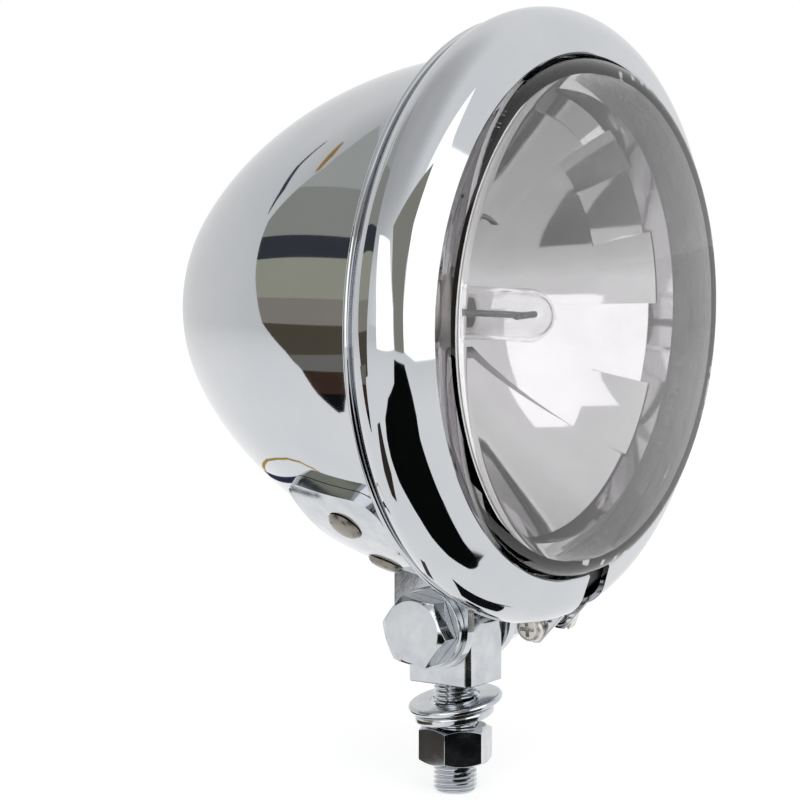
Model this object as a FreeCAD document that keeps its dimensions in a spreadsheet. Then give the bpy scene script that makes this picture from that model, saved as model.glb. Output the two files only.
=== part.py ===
import FreeCAD, Part
import math
import os
import Sketcher
from FreeCAD import Placement, Rotation, Vector

# Auxiliary spot lamp for a motorbike: a chromed bowl with a split trim ring, a domed clear
# lens over a faceted reflector and a bulb, riveted to a clevis bracket that tilts on a block
# with a threaded stud.
# Frame: origin at the middle of the block's underside, +Z up, the lamp faces -Y.
# "Ahead" is the distance towards the front of the lamp from the upright plane of the stud.

# Driving dimensions in millimetres and degrees.
SIZES = {
    # Fits
    "seat_gap": 0.1,              # between pieces that sit on each other's curved faces
    "pivot_gap": 0.08,            # pivot bolt in the block's bore, all round
    "thread_gap": 0.05,           # screw in its nut or tapped hole, all round
    "hole_gap": 0.2,              # screw or rivet in a plain hole, all round
    "side_gap": 0.2,              # block to each bracket ear
    # Trim ring
    "lens_opening": 55.0,         # radius of the hole that the lens shows through
    "ring_width": 10.1,           # from the opening out to the widest part
    "ring_sheet": 1.2,            # thickness of the ring's metal
    "bulge_radius": 8.0,          # round outer edge of the ring
    "ring_rise": 1.2,             # front edge of the opening, ahead of the round edge
    "lip_step": 2.1,              # rear lip stays this far inside the widest part
    "lip_slack": 0.4,             # rear lip around the bowl, all round
    "crease_rise": 0.3,           # crease between the bulge and the lip, ahead of the lip
    # Bowl
    "bowl_margin": 0.8,           # bowl's mouth is this much wider than the opening
    "bowl_mouth": 15.6,           # rear face of the bowl's flange, ahead
    "bowl_depth": 79.8,           # from that face to the back of the bowl
    "nose_radius": 39.5,          # round back of the bowl
    "bowl_wall": 1.2,
    "bowl_flange": 2.1,           # width of the turned-out edge
    # Gasket, reflector and lens, stacked ahead of the flange
    "gasket_foot": 6.1,           # rubber under the reflector's edge
    "gasket_inside": 1.4,         # foot's inner radius beyond the opening
    "gasket_side": 3.1,           # rubber around the edge of the lens
    "gasket_lip": 1.4,            # rubber in front of the edge of the lens
    "gasket_lip_clear": 0.9,      # that rubber around the side of the lens, all round
    "gasket_lip_fall": 0.84,      # its slope from the lens out to the corner
    "gasket_bevel": 2.55,         # its slope from the corner down to the outside
    "reflector_edge": 1.5,        # thickness of the reflector's flat edge
    "reflector_wall": 1.6,
    "reflector_rim": 47.0,        # radius where the mirror ends
    "rim_flare": 0.4,             # wider at the front of the rim
    "socket_radius": 9.0,         # hole for the bulb
    "focus": 16.2,                # middle of the filament, ahead
    "focal_length": 22.2,         # mirror surface between the facets
    "lens_edge": 3.4,             # thickness of the lens's flat edge
    "lens_edge_width": 3.6,
    "lens_slack": 0.6,            # lens inside the ring's opening, all round
    "lens_shoulder": 4.5,         # rounding between the lens's side and its dome
    "lens_side": 6.7,             # height of the side up to the rounding's centre
    "lens_crown": 15.8,           # height of the dome's top above the seat
    "lens_glass": 4.0,
    # Bulb
    "bulb_radius": 5.7,
    "bulb_glass": 0.8,
    "bulb_tip": 6.2,              # glass ahead of the filament
    "bulb_plate_radius": 11.5,
    "bulb_plate": 1.2,
    "bulb_cap_radius": 6.9,
    "bulb_cap": 7.5,              # cap's length ahead of the plate
    "bulb_tail": 9.0,             # cap's length behind the plate
    "bulb_tail_radius": 5.5,
    "filament_wire": 0.5,         # radius of the filament's posts
    "filament_span": 2.6,         # posts to each side of the axis
    "filament_coil": 0.75,        # radius of the filament
    "filament_overhang": 1.0,     # filament past the middle of each post
    "clip_wire": 0.7,             # radius of the spring wire
    "clip_reach": 16.0,
    # Clamp at the ring's split
    "clamp_turn": 8.5,            # split's place, from straight down towards +X
    "clamp_opening": 9.0,
    "clamp_tab": 1.5,
    "clamp_lie": 26.0,            # screw's place around the bulge, back from its widest point
    "clamp_screw": 2.0,           # radius
    "clamp_head": 3.2,            # radius
    "clamp_head_height": 2.3,
    "clamp_head_round": 1.4,
    "recess_arm": 1.75,           # cross recess, out from its middle
    "recess_half": 0.45,          # half the width of an arm
    "recess_depth": 1.25,
    "clamp_nut": 6.4,             # square nut's width
    "clamp_nut_height": 2.6,
    "clamp_tail": 1.6,
    # Bracket
    "strip": 2.6,                 # thickness
    "strip_front": 9.5,
    "strip_back": 16.0,
    "strip_wrap": 52.0,           # to each side of straight down
    "strip_corner": 6.0,
    "bracket_drop": 10.16,        # from the strip down to the pivot
    "ear": 2.5,                   # thickness
    "ear_width": 19.0,
    "rivet_inner_turn": 24.0,     # places around the strip
    "rivet_outer_turn": 42.0,
    "rivet_setback": 17.6,        # behind the bowl's mouth
    "rivet_shank": 2.0,
    "rivet_head": 4.0,
    "rivet_head_height": 1.3,
    "rivet_crown": 2.9,           # radius of the flat on top of the head
    "rivet_tail": 3.2,
    "rivet_tail_height": 1.5,
    # Grommet
    "grommet_fall": 32.0,         # below the back of the bowl, around the nose
    "grommet_bore": 3.2,
    "grommet_neck": 4.8,
    "grommet_flange": 7.0,
    "grommet_flange_height": 1.6,
    # Swivel block, stud and threaded pieces
    "block_width": 14.0,
    "block_depth": 16.2,
    "block_chamfer": 1.0,
    "pivot_height": 13.0,
    "screw": 4.7625,              # radius of the stud and the pivot bolt
    "screw_chamfer": 0.9,
    "hex_flats": 14.29,
    "hex_face": 6.7,              # radius of the round face inside the corner chamfers
    "hex_slope": 30.0,            # of those chamfers
    "nut_height": 8.33,
    "head_height": 5.2,
    "head_turn": 21.0,            # corner of the bolt's head, from straight up towards the back
    "bolt_tail": 2.2,             # past the pivot nut
    "stud_grip": 6.8,             # screwed into the block
    "stud_reach": 24.6,           # below the block
    "nut_drop": 9.9,              # nut's top, below the block
    "nut_turn": 16.5,
    "spring_washer": 8.7,         # outer radius
    "spring_section": 2.1,        # thickness
    "spring_split": 1.2,
    "spring_slack": 0.7,          # open washer around the stud, all round
    "spring_rise": 3.0,           # open washer's climb in one turn
    "spring_lean": 4.9,
    "spring_sink": 0.4,           # start of the open washer's turn, below the nut's top
    "spring_turn": -20.0,         # place of the open washer's split
    "washer_radius": 10.4,
    "washer_hole": 5.6,
    "washer": 1.6,
    "washer_round": 0.4,
    "washer_lean": 10.5,
    "washer_drop": 4.6,           # middle of the washer, below the block
    "lean_turn": -24.0,           # side where the loose washers stand highest
}

# Mirror facets, each a sector of a ring on the mirror: first and last place around the axis
# from +X towards up, inner and outer edge as shares of the way from the socket to the rim,
# focal length as a share of the mirror's, and rise at mid-width as a share of its wall.
FACETS = [
    (0.0, 56.0, 0.0, 0.763, 0.955, 0.31),
    (56.0, 114.0, 0.0, 0.342, 0.973, 0.25),
    (56.0, 114.0, 0.342, 0.895, 1.149, 1.06),
    (114.0, 180.0, 0.0, 0.987, 0.946, 0.75),
    (180.0, 238.0, 0.0, 0.987, 0.991, 0.31),
    (238.0, 316.0, 0.0, 0.987, 0.955, 0.63),
    (316.0, 360.0, 0.0, 0.763, 1.054, 1.19),
    (316.0, 338.0, 0.763, 0.995, 0.833, 0.88),
    (338.0, 360.0, 0.763, 0.995, 1.126, 0.5),
    (0.0, 20.0, 0.763, 0.995, 0.856, 0.88),
    (20.0, 40.0, 0.763, 0.995, 1.126, 0.5),
    (40.0, 56.0, 0.763, 0.995, 0.856, 0.75),
]

TOUCH = 1e-6                      # places closer than this are the same
THROUGH = 4                       # cuts run this many half widths, so they pass right through

doc = FreeCAD.newDocument("auxiliary_light")


class Size:
    """A number together with the sheet expression that gives it."""

    def __init__(self, number, text):
        self.number = number
        self.text = text

    def __add__(self, other):
        other = size_of(other)
        return Size(self.number + other.number, f"({self.text} + {other.text})")

    def __sub__(self, other):
        other = size_of(other)
        return Size(self.number - other.number, f"({self.text} - {other.text})")

    def __mul__(self, other):
        other = size_of(other)
        return Size(self.number * other.number, f"({self.text} * {other.text})")

    def __truediv__(self, other):
        other = size_of(other)
        return Size(self.number / other.number, f"({self.text} / {other.text})")

    def __neg__(self):
        return Size(-self.number, f"(0 - {self.text})")


def size_of(value):
    """Turn a plain number into a Size."""
    if isinstance(value, Size):
        return value
    return Size(float(value), repr(float(value)))


def root(size):
    return Size(math.sqrt(size.number), f"sqrt({size.text})")


def sine(angle):
    return Size(math.sin(math.radians(angle.number)), f"sin({angle.text})")


def cosine(angle):
    return Size(math.cos(math.radians(angle.number)), f"cos({angle.text})")


class Sheet:
    """The driving dimensions as a spreadsheet, read back as attributes."""

    def __init__(self, numbers):
        sheet = doc.addObject("Spreadsheet::Sheet", "Sizes")
        for row, (alias, number) in enumerate(numbers.items(), start=1):
            sheet.set(f"A{row}", alias.replace("_", " "))
            sheet.set(f"B{row}", str(number))
            sheet.setAlias(f"B{row}", alias)
            setattr(self, alias, Size(float(number), f"Sizes.{alias}"))
        doc.recompute()


size = Sheet(SIZES)
ZERO = size_of(0)

# Sizes and places that follow from the driving dimensions

ring_outer = size.lens_opening + size.ring_width
bowl_radius = size.lens_opening + size.bowl_margin
nose_centre = size.bowl_mouth - size.bowl_depth + size.nose_radius
nose_to_mouth = size.bowl_mouth - nose_centre
bowl_side = (
    bowl_radius * bowl_radius + nose_to_mouth * nose_to_mouth - size.nose_radius * size.nose_radius
) / ((bowl_radius - size.nose_radius) * 2)
bowl_side_centre = bowl_radius - bowl_side

flange_front = size.bowl_mouth + size.bowl_wall
reflector_seat = flange_front + size.gasket_foot + size.hole_gap
lens_seat = reflector_seat + size.reflector_edge
lens_front = lens_seat + size.lens_edge
lens_skirt = size.lens_opening - size.lens_slack
lens_rim = lens_skirt + size.lens_edge_width

lip_front = size.bowl_mouth - size.seat_gap
bulge_across = ring_outer - size.bulge_radius
bulge_ahead = lip_front + size.bulge_radius - size.ring_sheet
ring_front = bulge_ahead + size.bulge_radius + size.ring_rise

strip_bed = size.seat_gap + size.strip


def bowl_reach(ahead, offset):
    """Radius of the bowl's side, grown by an offset, at a place along the axis."""
    back = size.bowl_mouth - ahead
    radius = bowl_side + offset
    return bowl_side_centre + root(radius * radius - back * back)


axis_height = size.pivot_height + size.bracket_drop + bowl_reach(ZERO, strip_bed)
pivot_fall = axis_height - size.pivot_height
hex_corner = size.hex_flats / math.sqrt(3)
ear_inside = size.block_width / 2 + size.side_gap
ear_outside = ear_inside + size.ear
clamp_away = size.bulge_radius + size.clamp_head + size.hole_gap
clamp_across = bulge_across + clamp_away * cosine(size.clamp_lie)
clamp_ahead = bulge_ahead - clamp_away * sine(size.clamp_lie)
clamp_face = size.clamp_opening / 2 + size.clamp_tab

LAMP_TURN = Rotation(Vector(1, 0, 0), 90)


# Helpers for sketches and features


class To:
    """A corner of an outline, reached by a line or, with a radius, by an arc."""

    def __init__(self, across, along, radius=None, left=True):
        self.across = size_of(across)
        self.along = size_of(along)
        self.radius = radius
        self.left = left

    def point(self):
        return Vector(self.across.number, self.along.number, 0)


def new_body(label):
    body = doc.addObject("PartDesign::Body", label)
    body.Label = label
    return body


def lamp_body(label):
    """A body on the lamp's axis: its z is ahead, its y is up."""
    body = new_body(label)
    body.Placement = Placement(Vector(0, 0, axis_height.number), LAMP_TURN)
    body.setExpression("Placement.Base.z", axis_height.text)
    return body


def sketch_on(body, name, role, turn=None, shift=None):
    """A sketch on a body's origin plane, turned about its own upright and moved along its normal."""
    sketch = body.newObject("Sketcher::SketchObject", name)
    plane = [item for item in body.Origin.OriginFeatures if item.Role == role][0]
    sketch.AttachmentSupport = [(plane, "")]
    sketch.MapMode = "FlatFace"
    shift = size_of(shift or 0)
    if turn is None:
        sketch.AttachmentOffset = Placement(Vector(0, 0, shift.number), Rotation())
        sketch.setExpression("AttachmentOffset.Base.z", shift.text)
        return sketch
    turn = size_of(turn)
    sideways = shift * sine(turn)
    outward = shift * cosine(turn)
    offset = Vector(sideways.number, 0, outward.number)
    sketch.AttachmentOffset = Placement(offset, Rotation(Vector(0, 1, 0), turn.number))
    sketch.setExpression("AttachmentOffset.Base.x", sideways.text)
    sketch.setExpression("AttachmentOffset.Base.z", outward.text)
    sketch.setExpression("AttachmentOffset.Rotation.Angle", turn.text)
    return sketch


def arc_between(start, end, radius, left):
    """The shorter arc between two points, curving to the left or the right."""
    chord = end - start
    half = chord.Length / 2
    rise = math.sqrt(max(radius * radius - half * half, 0.0))
    normal = Vector(-chord.y, chord.x, 0)
    normal.normalize()
    centre = (start + end) / 2 + normal * (rise if left else -rise)
    first, last = (start, end) if left else (end, start)
    angles = [math.atan2(p.y - centre.y, p.x - centre.x) for p in (first, last)]
    return Part.ArcOfCircle(Part.Circle(centre, Vector(0, 0, 1), radius), angles[0], angles[1])


def hold(sketch, constraint, value):
    """Add a dimension that the sheet drives."""
    index = sketch.addConstraint(constraint)
    sketch.setExpression(f"Constraints[{index}]", value.text)


def place(sketch, geometry, position, across, along):
    """Fix a point of a sketch by its two distances from the origin."""
    for kind, value, axis in (("DistanceX", across, -2), ("DistanceY", along, -1)):
        if value is ZERO:
            sketch.addConstraint(Sketcher.Constraint("PointOnObject", geometry, position, axis))
        else:
            dimension = Sketcher.Constraint(kind, -1, 1, geometry, position, value.number)
            hold(sketch, dimension, value)


def outline(sketch, corners):
    """Draw a closed outline through corners, fully dimensioned."""
    first = sketch.GeometryCount
    count = len(corners)
    for index, corner in enumerate(corners):
        start = corners[index - 1].point()
        if corner.radius is None:
            sketch.addGeometry(Part.LineSegment(start, corner.point()), False)
        else:
            arc = arc_between(start, corner.point(), corner.radius.number, corner.left)
            sketch.addGeometry(arc, False)
    for index, corner in enumerate(corners):
        following = (index + 1) % count
        ends = 2 if corner.radius is None or corner.left else 1
        starts = 1 if corners[following].radius is None or corners[following].left else 2
        joint = Sketcher.Constraint("Coincident", first + index, ends, first + following, starts)
        sketch.addConstraint(joint)
        place(sketch, first + index, ends, corner.across, corner.along)
        if corner.radius is not None:
            dimension = Sketcher.Constraint("Radius", first + index, corner.radius.number)
            hold(sketch, dimension, corner.radius)
    return sketch


def circle(sketch, across, along, radius):
    """Draw a dimensioned circle."""
    across = size_of(across)
    along = size_of(along)
    centre = Vector(across.number, along.number, 0)
    index = sketch.addGeometry(Part.Circle(centre, Vector(0, 0, 1), radius.number), False)
    place(sketch, index, 3, across, along)
    hold(sketch, Sketcher.Constraint("Radius", index, radius.number), radius)
    return sketch


def hexagon(sketch, flats):
    """Draw a hexagon about the origin with two corners on the sketch's x axis."""
    reach = flats / math.sqrt(3)
    corners = [To(reach, ZERO)]
    corners.append(To(reach / 2, flats / 2))
    corners.append(To(-reach / 2, flats / 2))
    corners.append(To(-reach, ZERO))
    corners.append(To(-reach / 2, -flats / 2))
    corners.append(To(reach / 2, -flats / 2))
    return outline(sketch, corners)


def extrude(body, kind, sketch, name, length, reverse=False, middle=False):
    """Pad or pocket a sketch over a bound length."""
    feature = body.newObject(f"PartDesign::{kind}", name)
    feature.Profile = sketch
    feature.Length = length.number
    feature.setExpression("Length", length.text)
    feature.Reversed = reverse
    feature.Midplane = middle
    return feature


def revolve(body, kind, sketch, name, sweep=None, middle=False):
    """Turn a sketch about its own upright axis, all round or over a bound sweep."""
    feature = body.newObject(f"PartDesign::{kind}", name)
    feature.Profile = sketch
    feature.ReferenceAxis = (sketch, ["V_Axis"])
    feature.Angle = 360
    feature.Midplane = middle
    if sweep is not None:
        feature.Angle = sweep.number
        feature.setExpression("Angle", sweep.text)
    return feature


def edges_where(feature, test):
    """Names of a feature's edges whose middle passes a test."""
    doc.recompute()
    names = []
    for index, edge in enumerate(feature.Shape.Edges, start=1):
        middle = edge.valueAt((edge.FirstParameter + edge.LastParameter) / 2)
        if test(edge, middle):
            names.append(f"Edge{index}")
    return names


def dress(body, kind, base, name, edges, amount):
    """Fillet or chamfer some edges of a feature."""
    feature = body.newObject(f"PartDesign::{kind}", name)
    feature.Base = (base, edges)
    key = "Radius" if kind == "Fillet" else "Size"
    setattr(feature, key, amount.number)
    feature.setExpression(key, amount.text)
    return feature


def turned_body(label, name, corners):
    """A lamp body turned from one outline of (radius, ahead) corners."""
    body = lamp_body(label)
    section = outline(sketch_on(body, f"{name}_section", "XZ_Plane"), corners)
    revolve(body, "Revolution", section, name)
    return body


# Bowl


def bowl_tangent(offset):
    """Where the side's arc meets the nose's arc, with both grown by an offset."""
    share = (size.nose_radius + offset) / (bowl_side - size.nose_radius)
    return (bowl_side - bowl_radius) * share, nose_centre - nose_to_mouth * share


def rivet_spot(turn):
    """Place and outward direction of a rivet on the bowl, in the lamp's axes."""
    lean = math.asin(size.rivet_setback.number / bowl_side.number)
    across = bowl_side_centre.number + bowl_side.number * math.cos(lean)
    around = math.radians(turn.number)
    ahead = size.bowl_mouth.number - size.rivet_setback.number
    spot = Vector(across * math.sin(around), -across * math.cos(around), ahead)
    out = Vector(
        math.cos(lean) * math.sin(around),
        -math.cos(lean) * math.cos(around),
        -math.sin(lean),
    )
    return spot, out


RIVET_TURNS = [
    -size.rivet_outer_turn,
    -size.rivet_inner_turn,
    size.rivet_inner_turn,
    size.rivet_outer_turn,
]


def drill_rivets(body):
    """Four plain holes for the rivets, square to the bowl."""
    radius = size.rivet_shank + size.hole_gap
    depth = (size.bowl_wall + strip_bed) * 2
    for index, turn in enumerate(RIVET_TURNS, start=1):
        spot, out = rivet_spot(turn)
        hole = body.newObject("PartDesign::SubtractiveCylinder", f"rivet_hole_{index}")
        hole.Radius = radius.number
        hole.setExpression("Radius", radius.text)
        hole.Height = (depth * 2).number
        hole.setExpression("Height", (depth * 2).text)
        hole.Placement = Placement(spot - out * depth.number, Rotation(Vector(0, 0, 1), out))


def grommet_direction():
    """Outward direction of the grommet, in the lamp's axes."""
    fall = math.radians(size.grommet_fall.number)
    return Vector(0, -math.sin(fall), -math.cos(fall))


def build_housing():
    wall = size.bowl_wall
    outer = bowl_tangent(ZERO)
    inner = bowl_tangent(-wall)
    back = size.bowl_mouth - size.bowl_depth
    corners = [
        To(ZERO, back),
        To(outer[0], outer[1], size.nose_radius, left=True),
        To(bowl_radius, size.bowl_mouth, bowl_side, left=True),
        To(bowl_radius + size.bowl_flange, size.bowl_mouth),
        To(bowl_radius + size.bowl_flange, flange_front),
        To(bowl_radius - wall, flange_front),
        To(bowl_radius - wall, size.bowl_mouth),
        To(inner[0], inner[1], bowl_side - wall, left=False),
        To(ZERO, back + wall, size.nose_radius - wall, left=False),
    ]
    body = turned_body("housing", "bowl", corners)
    drill_rivets(body)
    hole = body.newObject("PartDesign::SubtractiveCylinder", "cable_hole")
    radius = size.grommet_neck + size.seat_gap
    hole.Radius = radius.number
    hole.setExpression("Radius", radius.text)
    reach = size.grommet_flange
    hole.Height = (reach * 2).number
    hole.setExpression("Height", (reach * 2).text)
    out = grommet_direction()
    start = Vector(0, 0, nose_centre.number) + out * (size.nose_radius - reach).number
    hole.Placement = Placement(start, Rotation(Vector(0, 0, 1), out))
    return body


def build_grommet():
    """Rubber grommet in the bowl's nose, turned about its own axis."""
    body = new_body("cable_grommet")
    wall = size.bowl_wall
    gap = size.seat_gap
    hollow = size.nose_radius - wall
    shoulder_in = root(hollow * hollow - size.grommet_flange * size.grommet_flange) - gap
    inside = shoulder_in - size.grommet_flange_height
    shoulder_out = size.nose_radius + gap
    outside = shoulder_out + size.grommet_flange_height
    corners = [
        To(size.grommet_bore, inside),
        To(size.grommet_flange, inside),
        To(size.grommet_flange, shoulder_in),
        To(size.grommet_neck, shoulder_in),
        To(size.grommet_neck, shoulder_out),
        To(size.grommet_flange, shoulder_out),
        To(size.grommet_bore + size.grommet_flange_height, outside),
        To(size.grommet_bore, outside),
    ]
    section = outline(sketch_on(body, "grommet_section", "XZ_Plane"), corners)
    revolve(body, "Revolution", section, "grommet")
    frame = Placement(Vector(0, 0, axis_height.number), LAMP_TURN)
    turn = Rotation(Vector(0, 0, 1), grommet_direction())
    body.Placement = frame * Placement(Vector(0, 0, nose_centre.number), turn)
    return body


# Trim ring and its clamp


def strip_lean():
    """Direction that the ring's front strip faces, from the bulge's centre to where they touch."""
    across = size.lens_opening - bulge_across
    ahead = ring_front - bulge_ahead
    span = across * across + ahead * ahead
    reach = root(span - size.bulge_radius * size.bulge_radius)
    lean_across = (across * size.bulge_radius + ahead * reach) / span
    lean_ahead = (ahead * size.bulge_radius - across * reach) / span
    return lean_across, lean_ahead


def build_trim_ring():
    sheet = size.ring_sheet
    inner_radius = size.bulge_radius - sheet
    lean_across, lean_ahead = strip_lean()
    lip_inside = bowl_radius + size.lip_slack
    lip_outside = ring_outer - size.lip_step
    lip_back = lip_front - sheet
    crease = lip_front + size.crease_rise
    crease_fall = bulge_ahead - crease
    crease_across = bulge_across + root(
        size.bulge_radius * size.bulge_radius - crease_fall * crease_fall
    )
    corners = [
        To(size.lens_opening, ring_front - sheet / lean_ahead),
        To(size.lens_opening, ring_front),
        To(
            bulge_across + lean_across * size.bulge_radius,
            bulge_ahead + lean_ahead * size.bulge_radius,
        ),
        To(crease_across, crease, size.bulge_radius, left=False),
        To(lip_outside, crease),
        To(lip_outside, lip_back, (crease - lip_back) / 2 + size.seat_gap, left=False),
        To(lip_inside, lip_back),
        To(lip_inside, lip_front),
        To(bulge_across, lip_front),
        To(
            bulge_across + lean_across * inner_radius,
            bulge_ahead + lean_ahead * inner_radius,
            inner_radius,
            left=True,
        ),
    ]
    body = turned_body("trim_ring", "ring", corners)
    slot = sketch_on(body, "split_outline", "YZ_Plane", size.clamp_turn)
    near = -(size.lens_opening - sheet)
    far = -(ring_outer + size.bulge_radius)
    outline(slot, [
        To(near, lip_back - sheet),
        To(near, ring_front + sheet),
        To(far, ring_front + sheet),
        To(far, lip_back - sheet),
    ])
    extrude(body, "Pocket", slot, "split", size.clamp_opening, middle=True)
    middle = size.bulge_radius - sheet / 2
    boss = size.clamp_head + sheet / 2
    high = bulge_ahead + middle * sine(size.clamp_lie)
    low = bulge_ahead - middle * cosine(size.clamp_lie)
    for name, side in (("tab_left", -1), ("tab_right", 1)):
        shift = size.clamp_opening / 2 * side
        tab = sketch_on(body, f"{name}_outline", "YZ_Plane", size.clamp_turn, shift)
        outline(tab, [
            To(-(bulge_across + middle * sine(size.clamp_lie)), low),
            To(-(bulge_across + middle * cosine(size.clamp_lie)), high, middle, left=False),
            To(-(clamp_across + boss), clamp_ahead + sheet),
            To(-(clamp_across + boss), clamp_ahead - boss, boss * 2, left=False),
            To(-(clamp_across - boss), clamp_ahead - boss),
        ])
        extrude(body, "Pad", tab, name, size.clamp_tab, reverse=side < 0)
    hole = sketch_on(body, "clamp_hole_outline", "YZ_Plane", size.clamp_turn)
    circle(hole, -clamp_across, clamp_ahead, size.clamp_screw + size.hole_gap)
    body.Tip = extrude(body, "Pocket", hole, "clamp_hole", clamp_face * THROUGH, middle=True)
    return body


def build_clamp_screw():
    body = lamp_body("clamp_screw")
    under = -(clamp_face + size.seat_gap)
    round_head = sketch_on(body, "head_outline", "YZ_Plane", size.clamp_turn, under)
    circle(round_head, -clamp_across, clamp_ahead, size.clamp_head)
    head = extrude(body, "Pad", round_head, "head", size.clamp_head_height, reverse=True)
    shank = sketch_on(body, "shank_outline", "YZ_Plane", size.clamp_turn, under)
    circle(shank, -clamp_across, clamp_ahead, size.clamp_screw)
    length = (clamp_face + size.seat_gap) * 2 + size.clamp_nut_height + size.clamp_tail
    stem = extrude(body, "Pad", shank, "shank", length)
    turn = math.radians(size.clamp_turn.number)
    along = Vector(math.cos(turn), math.sin(turn), 0)
    half_way = (under - size.clamp_head_height / 2).number
    rim = edges_where(
        stem,
        lambda edge, spot: is_circle(edge, size.clamp_head) and spot.dot(along) < half_way,
    )
    dress(body, "Fillet", stem, "head_round", rim, size.clamp_head_round)
    driver = sketch_on(
        body, "recess_outline", "YZ_Plane", size.clamp_turn, under - size.clamp_head_height
    )
    arm = size.recess_arm
    half = size.recess_half
    corners = []
    for across, along in ((1, 1), (-1, 1), (-1, -1), (1, -1)):
        tips = [(arm * across, half * along), (half * across, half * along), (half * across, arm * along)]
        if across * along < 0:
            tips.reverse()
        for tip_across, tip_along in tips:
            corners.append(To(tip_across - clamp_across, tip_along + clamp_ahead))
    outline(driver, corners)
    body.Tip = extrude(body, "Pocket", driver, "recess", size.recess_depth, reverse=True)
    return body


def is_circle(edge, radius):
    """Whether an edge is a circle of a given radius."""
    return isinstance(edge.Curve, Part.Circle) and abs(edge.Curve.Radius - radius.number) < TOUCH


def build_clamp_nut():
    body = lamp_body("clamp_nut")
    long = size.clamp_nut / 2 * (cosine(size.clamp_lie) + sine(size.clamp_lie))
    short = size.clamp_nut / 2 * (cosine(size.clamp_lie) - sine(size.clamp_lie))
    face = sketch_on(body, "nut_outline", "YZ_Plane", size.clamp_turn, clamp_face + size.seat_gap)
    outline(face, [
        To(-clamp_across - short, clamp_ahead - long),
        To(-clamp_across + long, clamp_ahead - short),
        To(-clamp_across + short, clamp_ahead + long),
        To(-clamp_across - long, clamp_ahead + short),
    ])
    circle(face, -clamp_across, clamp_ahead, size.clamp_screw + size.thread_gap)
    extrude(body, "Pad", face, "nut", size.clamp_nut_height)
    return body


# Lens, gasket and reflector


def build_lens():
    dome_rise = size.lens_crown - size.lens_side
    side_centre = lens_skirt - size.lens_shoulder
    dome = (
        side_centre * side_centre + dome_rise * dome_rise - size.lens_shoulder * size.lens_shoulder
    ) / ((dome_rise - size.lens_shoulder) * 2)
    shoulder = lens_seat + size.lens_side
    dome_centre = lens_seat + size.lens_crown - dome
    share = size.lens_shoulder / (dome - size.lens_shoulder)
    touch_across = side_centre + side_centre * share
    touch_ahead = shoulder + (shoulder - dome_centre) * share
    inside = lens_skirt - size.lens_glass
    inner_dome = dome - size.lens_glass
    inner_corner = dome_centre + root(inner_dome * inner_dome - inside * inside)
    corners = [
        To(inside, lens_seat),
        To(lens_rim, lens_seat),
        To(lens_rim, lens_front),
        To(lens_skirt, lens_front),
        To(lens_skirt, shoulder),
        To(touch_across, touch_ahead, size.lens_shoulder, left=True),
        To(ZERO, lens_seat + size.lens_crown, dome, left=True),
        To(ZERO, dome_centre + inner_dome),
        To(inside, inner_corner, inner_dome, left=False),
    ]
    return turned_body("lens", "glass", corners)


def build_gasket():
    base = flange_front + size.hole_gap
    inside = size.lens_opening + size.gasket_inside
    wall_inside = lens_rim + size.seat_gap
    outside = wall_inside + size.gasket_side
    front = lens_front + size.gasket_lip
    lip_inside = lens_skirt + size.gasket_lip_clear
    corners = [
        To(inside, base),
        To(outside, base),
        To(outside, lens_front - size.gasket_bevel),
        To(wall_inside + size.hole_gap, front - size.gasket_lip_fall),
        To(lip_inside, front),
        To(lip_inside, lens_front),
        To(wall_inside, lens_front),
        To(wall_inside, reflector_seat),
        To(inside, reflector_seat),
    ]
    return turned_body("lens_gasket", "gasket", corners)


def mirror_ahead(across):
    """Place along the axis of the mirror's surface at a radius."""
    return size.focus - size.focal_length + across * across / (size.focal_length * 4)


def mirror_arc(inner, outer, focal):
    """Radius of the arc that stands for a parabola between two radii."""
    span = outer - inner
    rise = span * (outer + inner) / (focal * 4)
    chord = root(span * span + rise * rise)
    sag = span * span / (focal * 16) * span / chord
    return (chord * chord / 4 + sag * sag) / (sag * 2)


def add_facet(body, index, shares):
    """Raise one sector of the mirror to its own focal length."""
    first, last, inner_share, outer_share, focal_share, rise_share = shares
    width = size.reflector_rim - size.socket_radius
    inner = size.socket_radius + width * inner_share
    outer = size.socket_radius + width * outer_share
    focal = size.focal_length * focal_share
    middle = (inner + outer) / 2
    level = mirror_ahead(middle) + size.reflector_wall * rise_share
    inner_ahead = level - (middle * middle - inner * inner) / (focal * 4)
    outer_ahead = level + (outer * outer - middle * middle) / (focal * 4)
    bed = size.reflector_wall / 2
    bed_arc = mirror_arc(inner, outer, size.focal_length)
    turn = size_of(-(first + last) / 2)
    section = sketch_on(body, f"facet_{index}_section", "XZ_Plane", turn)
    outline(section, [
        To(inner, mirror_ahead(inner) - bed),
        To(outer, mirror_ahead(outer) - bed, bed_arc, left=True),
        To(outer, outer_ahead),
        To(inner, inner_ahead, mirror_arc(inner, outer, focal), left=False),
    ])
    sweep = size_of(last - first)
    return revolve(body, "Revolution", section, f"facet_{index}", sweep, middle=True)


def build_reflector():
    wall = size.reflector_wall
    rim = size.reflector_rim
    socket = size.socket_radius
    arc = mirror_arc(socket, rim, size.focal_length)
    corners = [
        To(socket, mirror_ahead(socket) - wall),
        To(rim + wall, mirror_ahead(rim) - wall, arc + wall, left=True),
        To(rim + wall, reflector_seat),
        To(lens_rim, reflector_seat),
        To(lens_rim, lens_seat),
        To(rim + size.rim_flare, lens_seat),
        To(rim, mirror_ahead(rim)),
        To(socket, mirror_ahead(socket), arc, left=False),
    ]
    body = turned_body("reflector", "mirror", corners)
    for index, shares in enumerate(FACETS, start=1):
        body.Tip = add_facet(body, index, shares)
    return body


# Bulb


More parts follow.
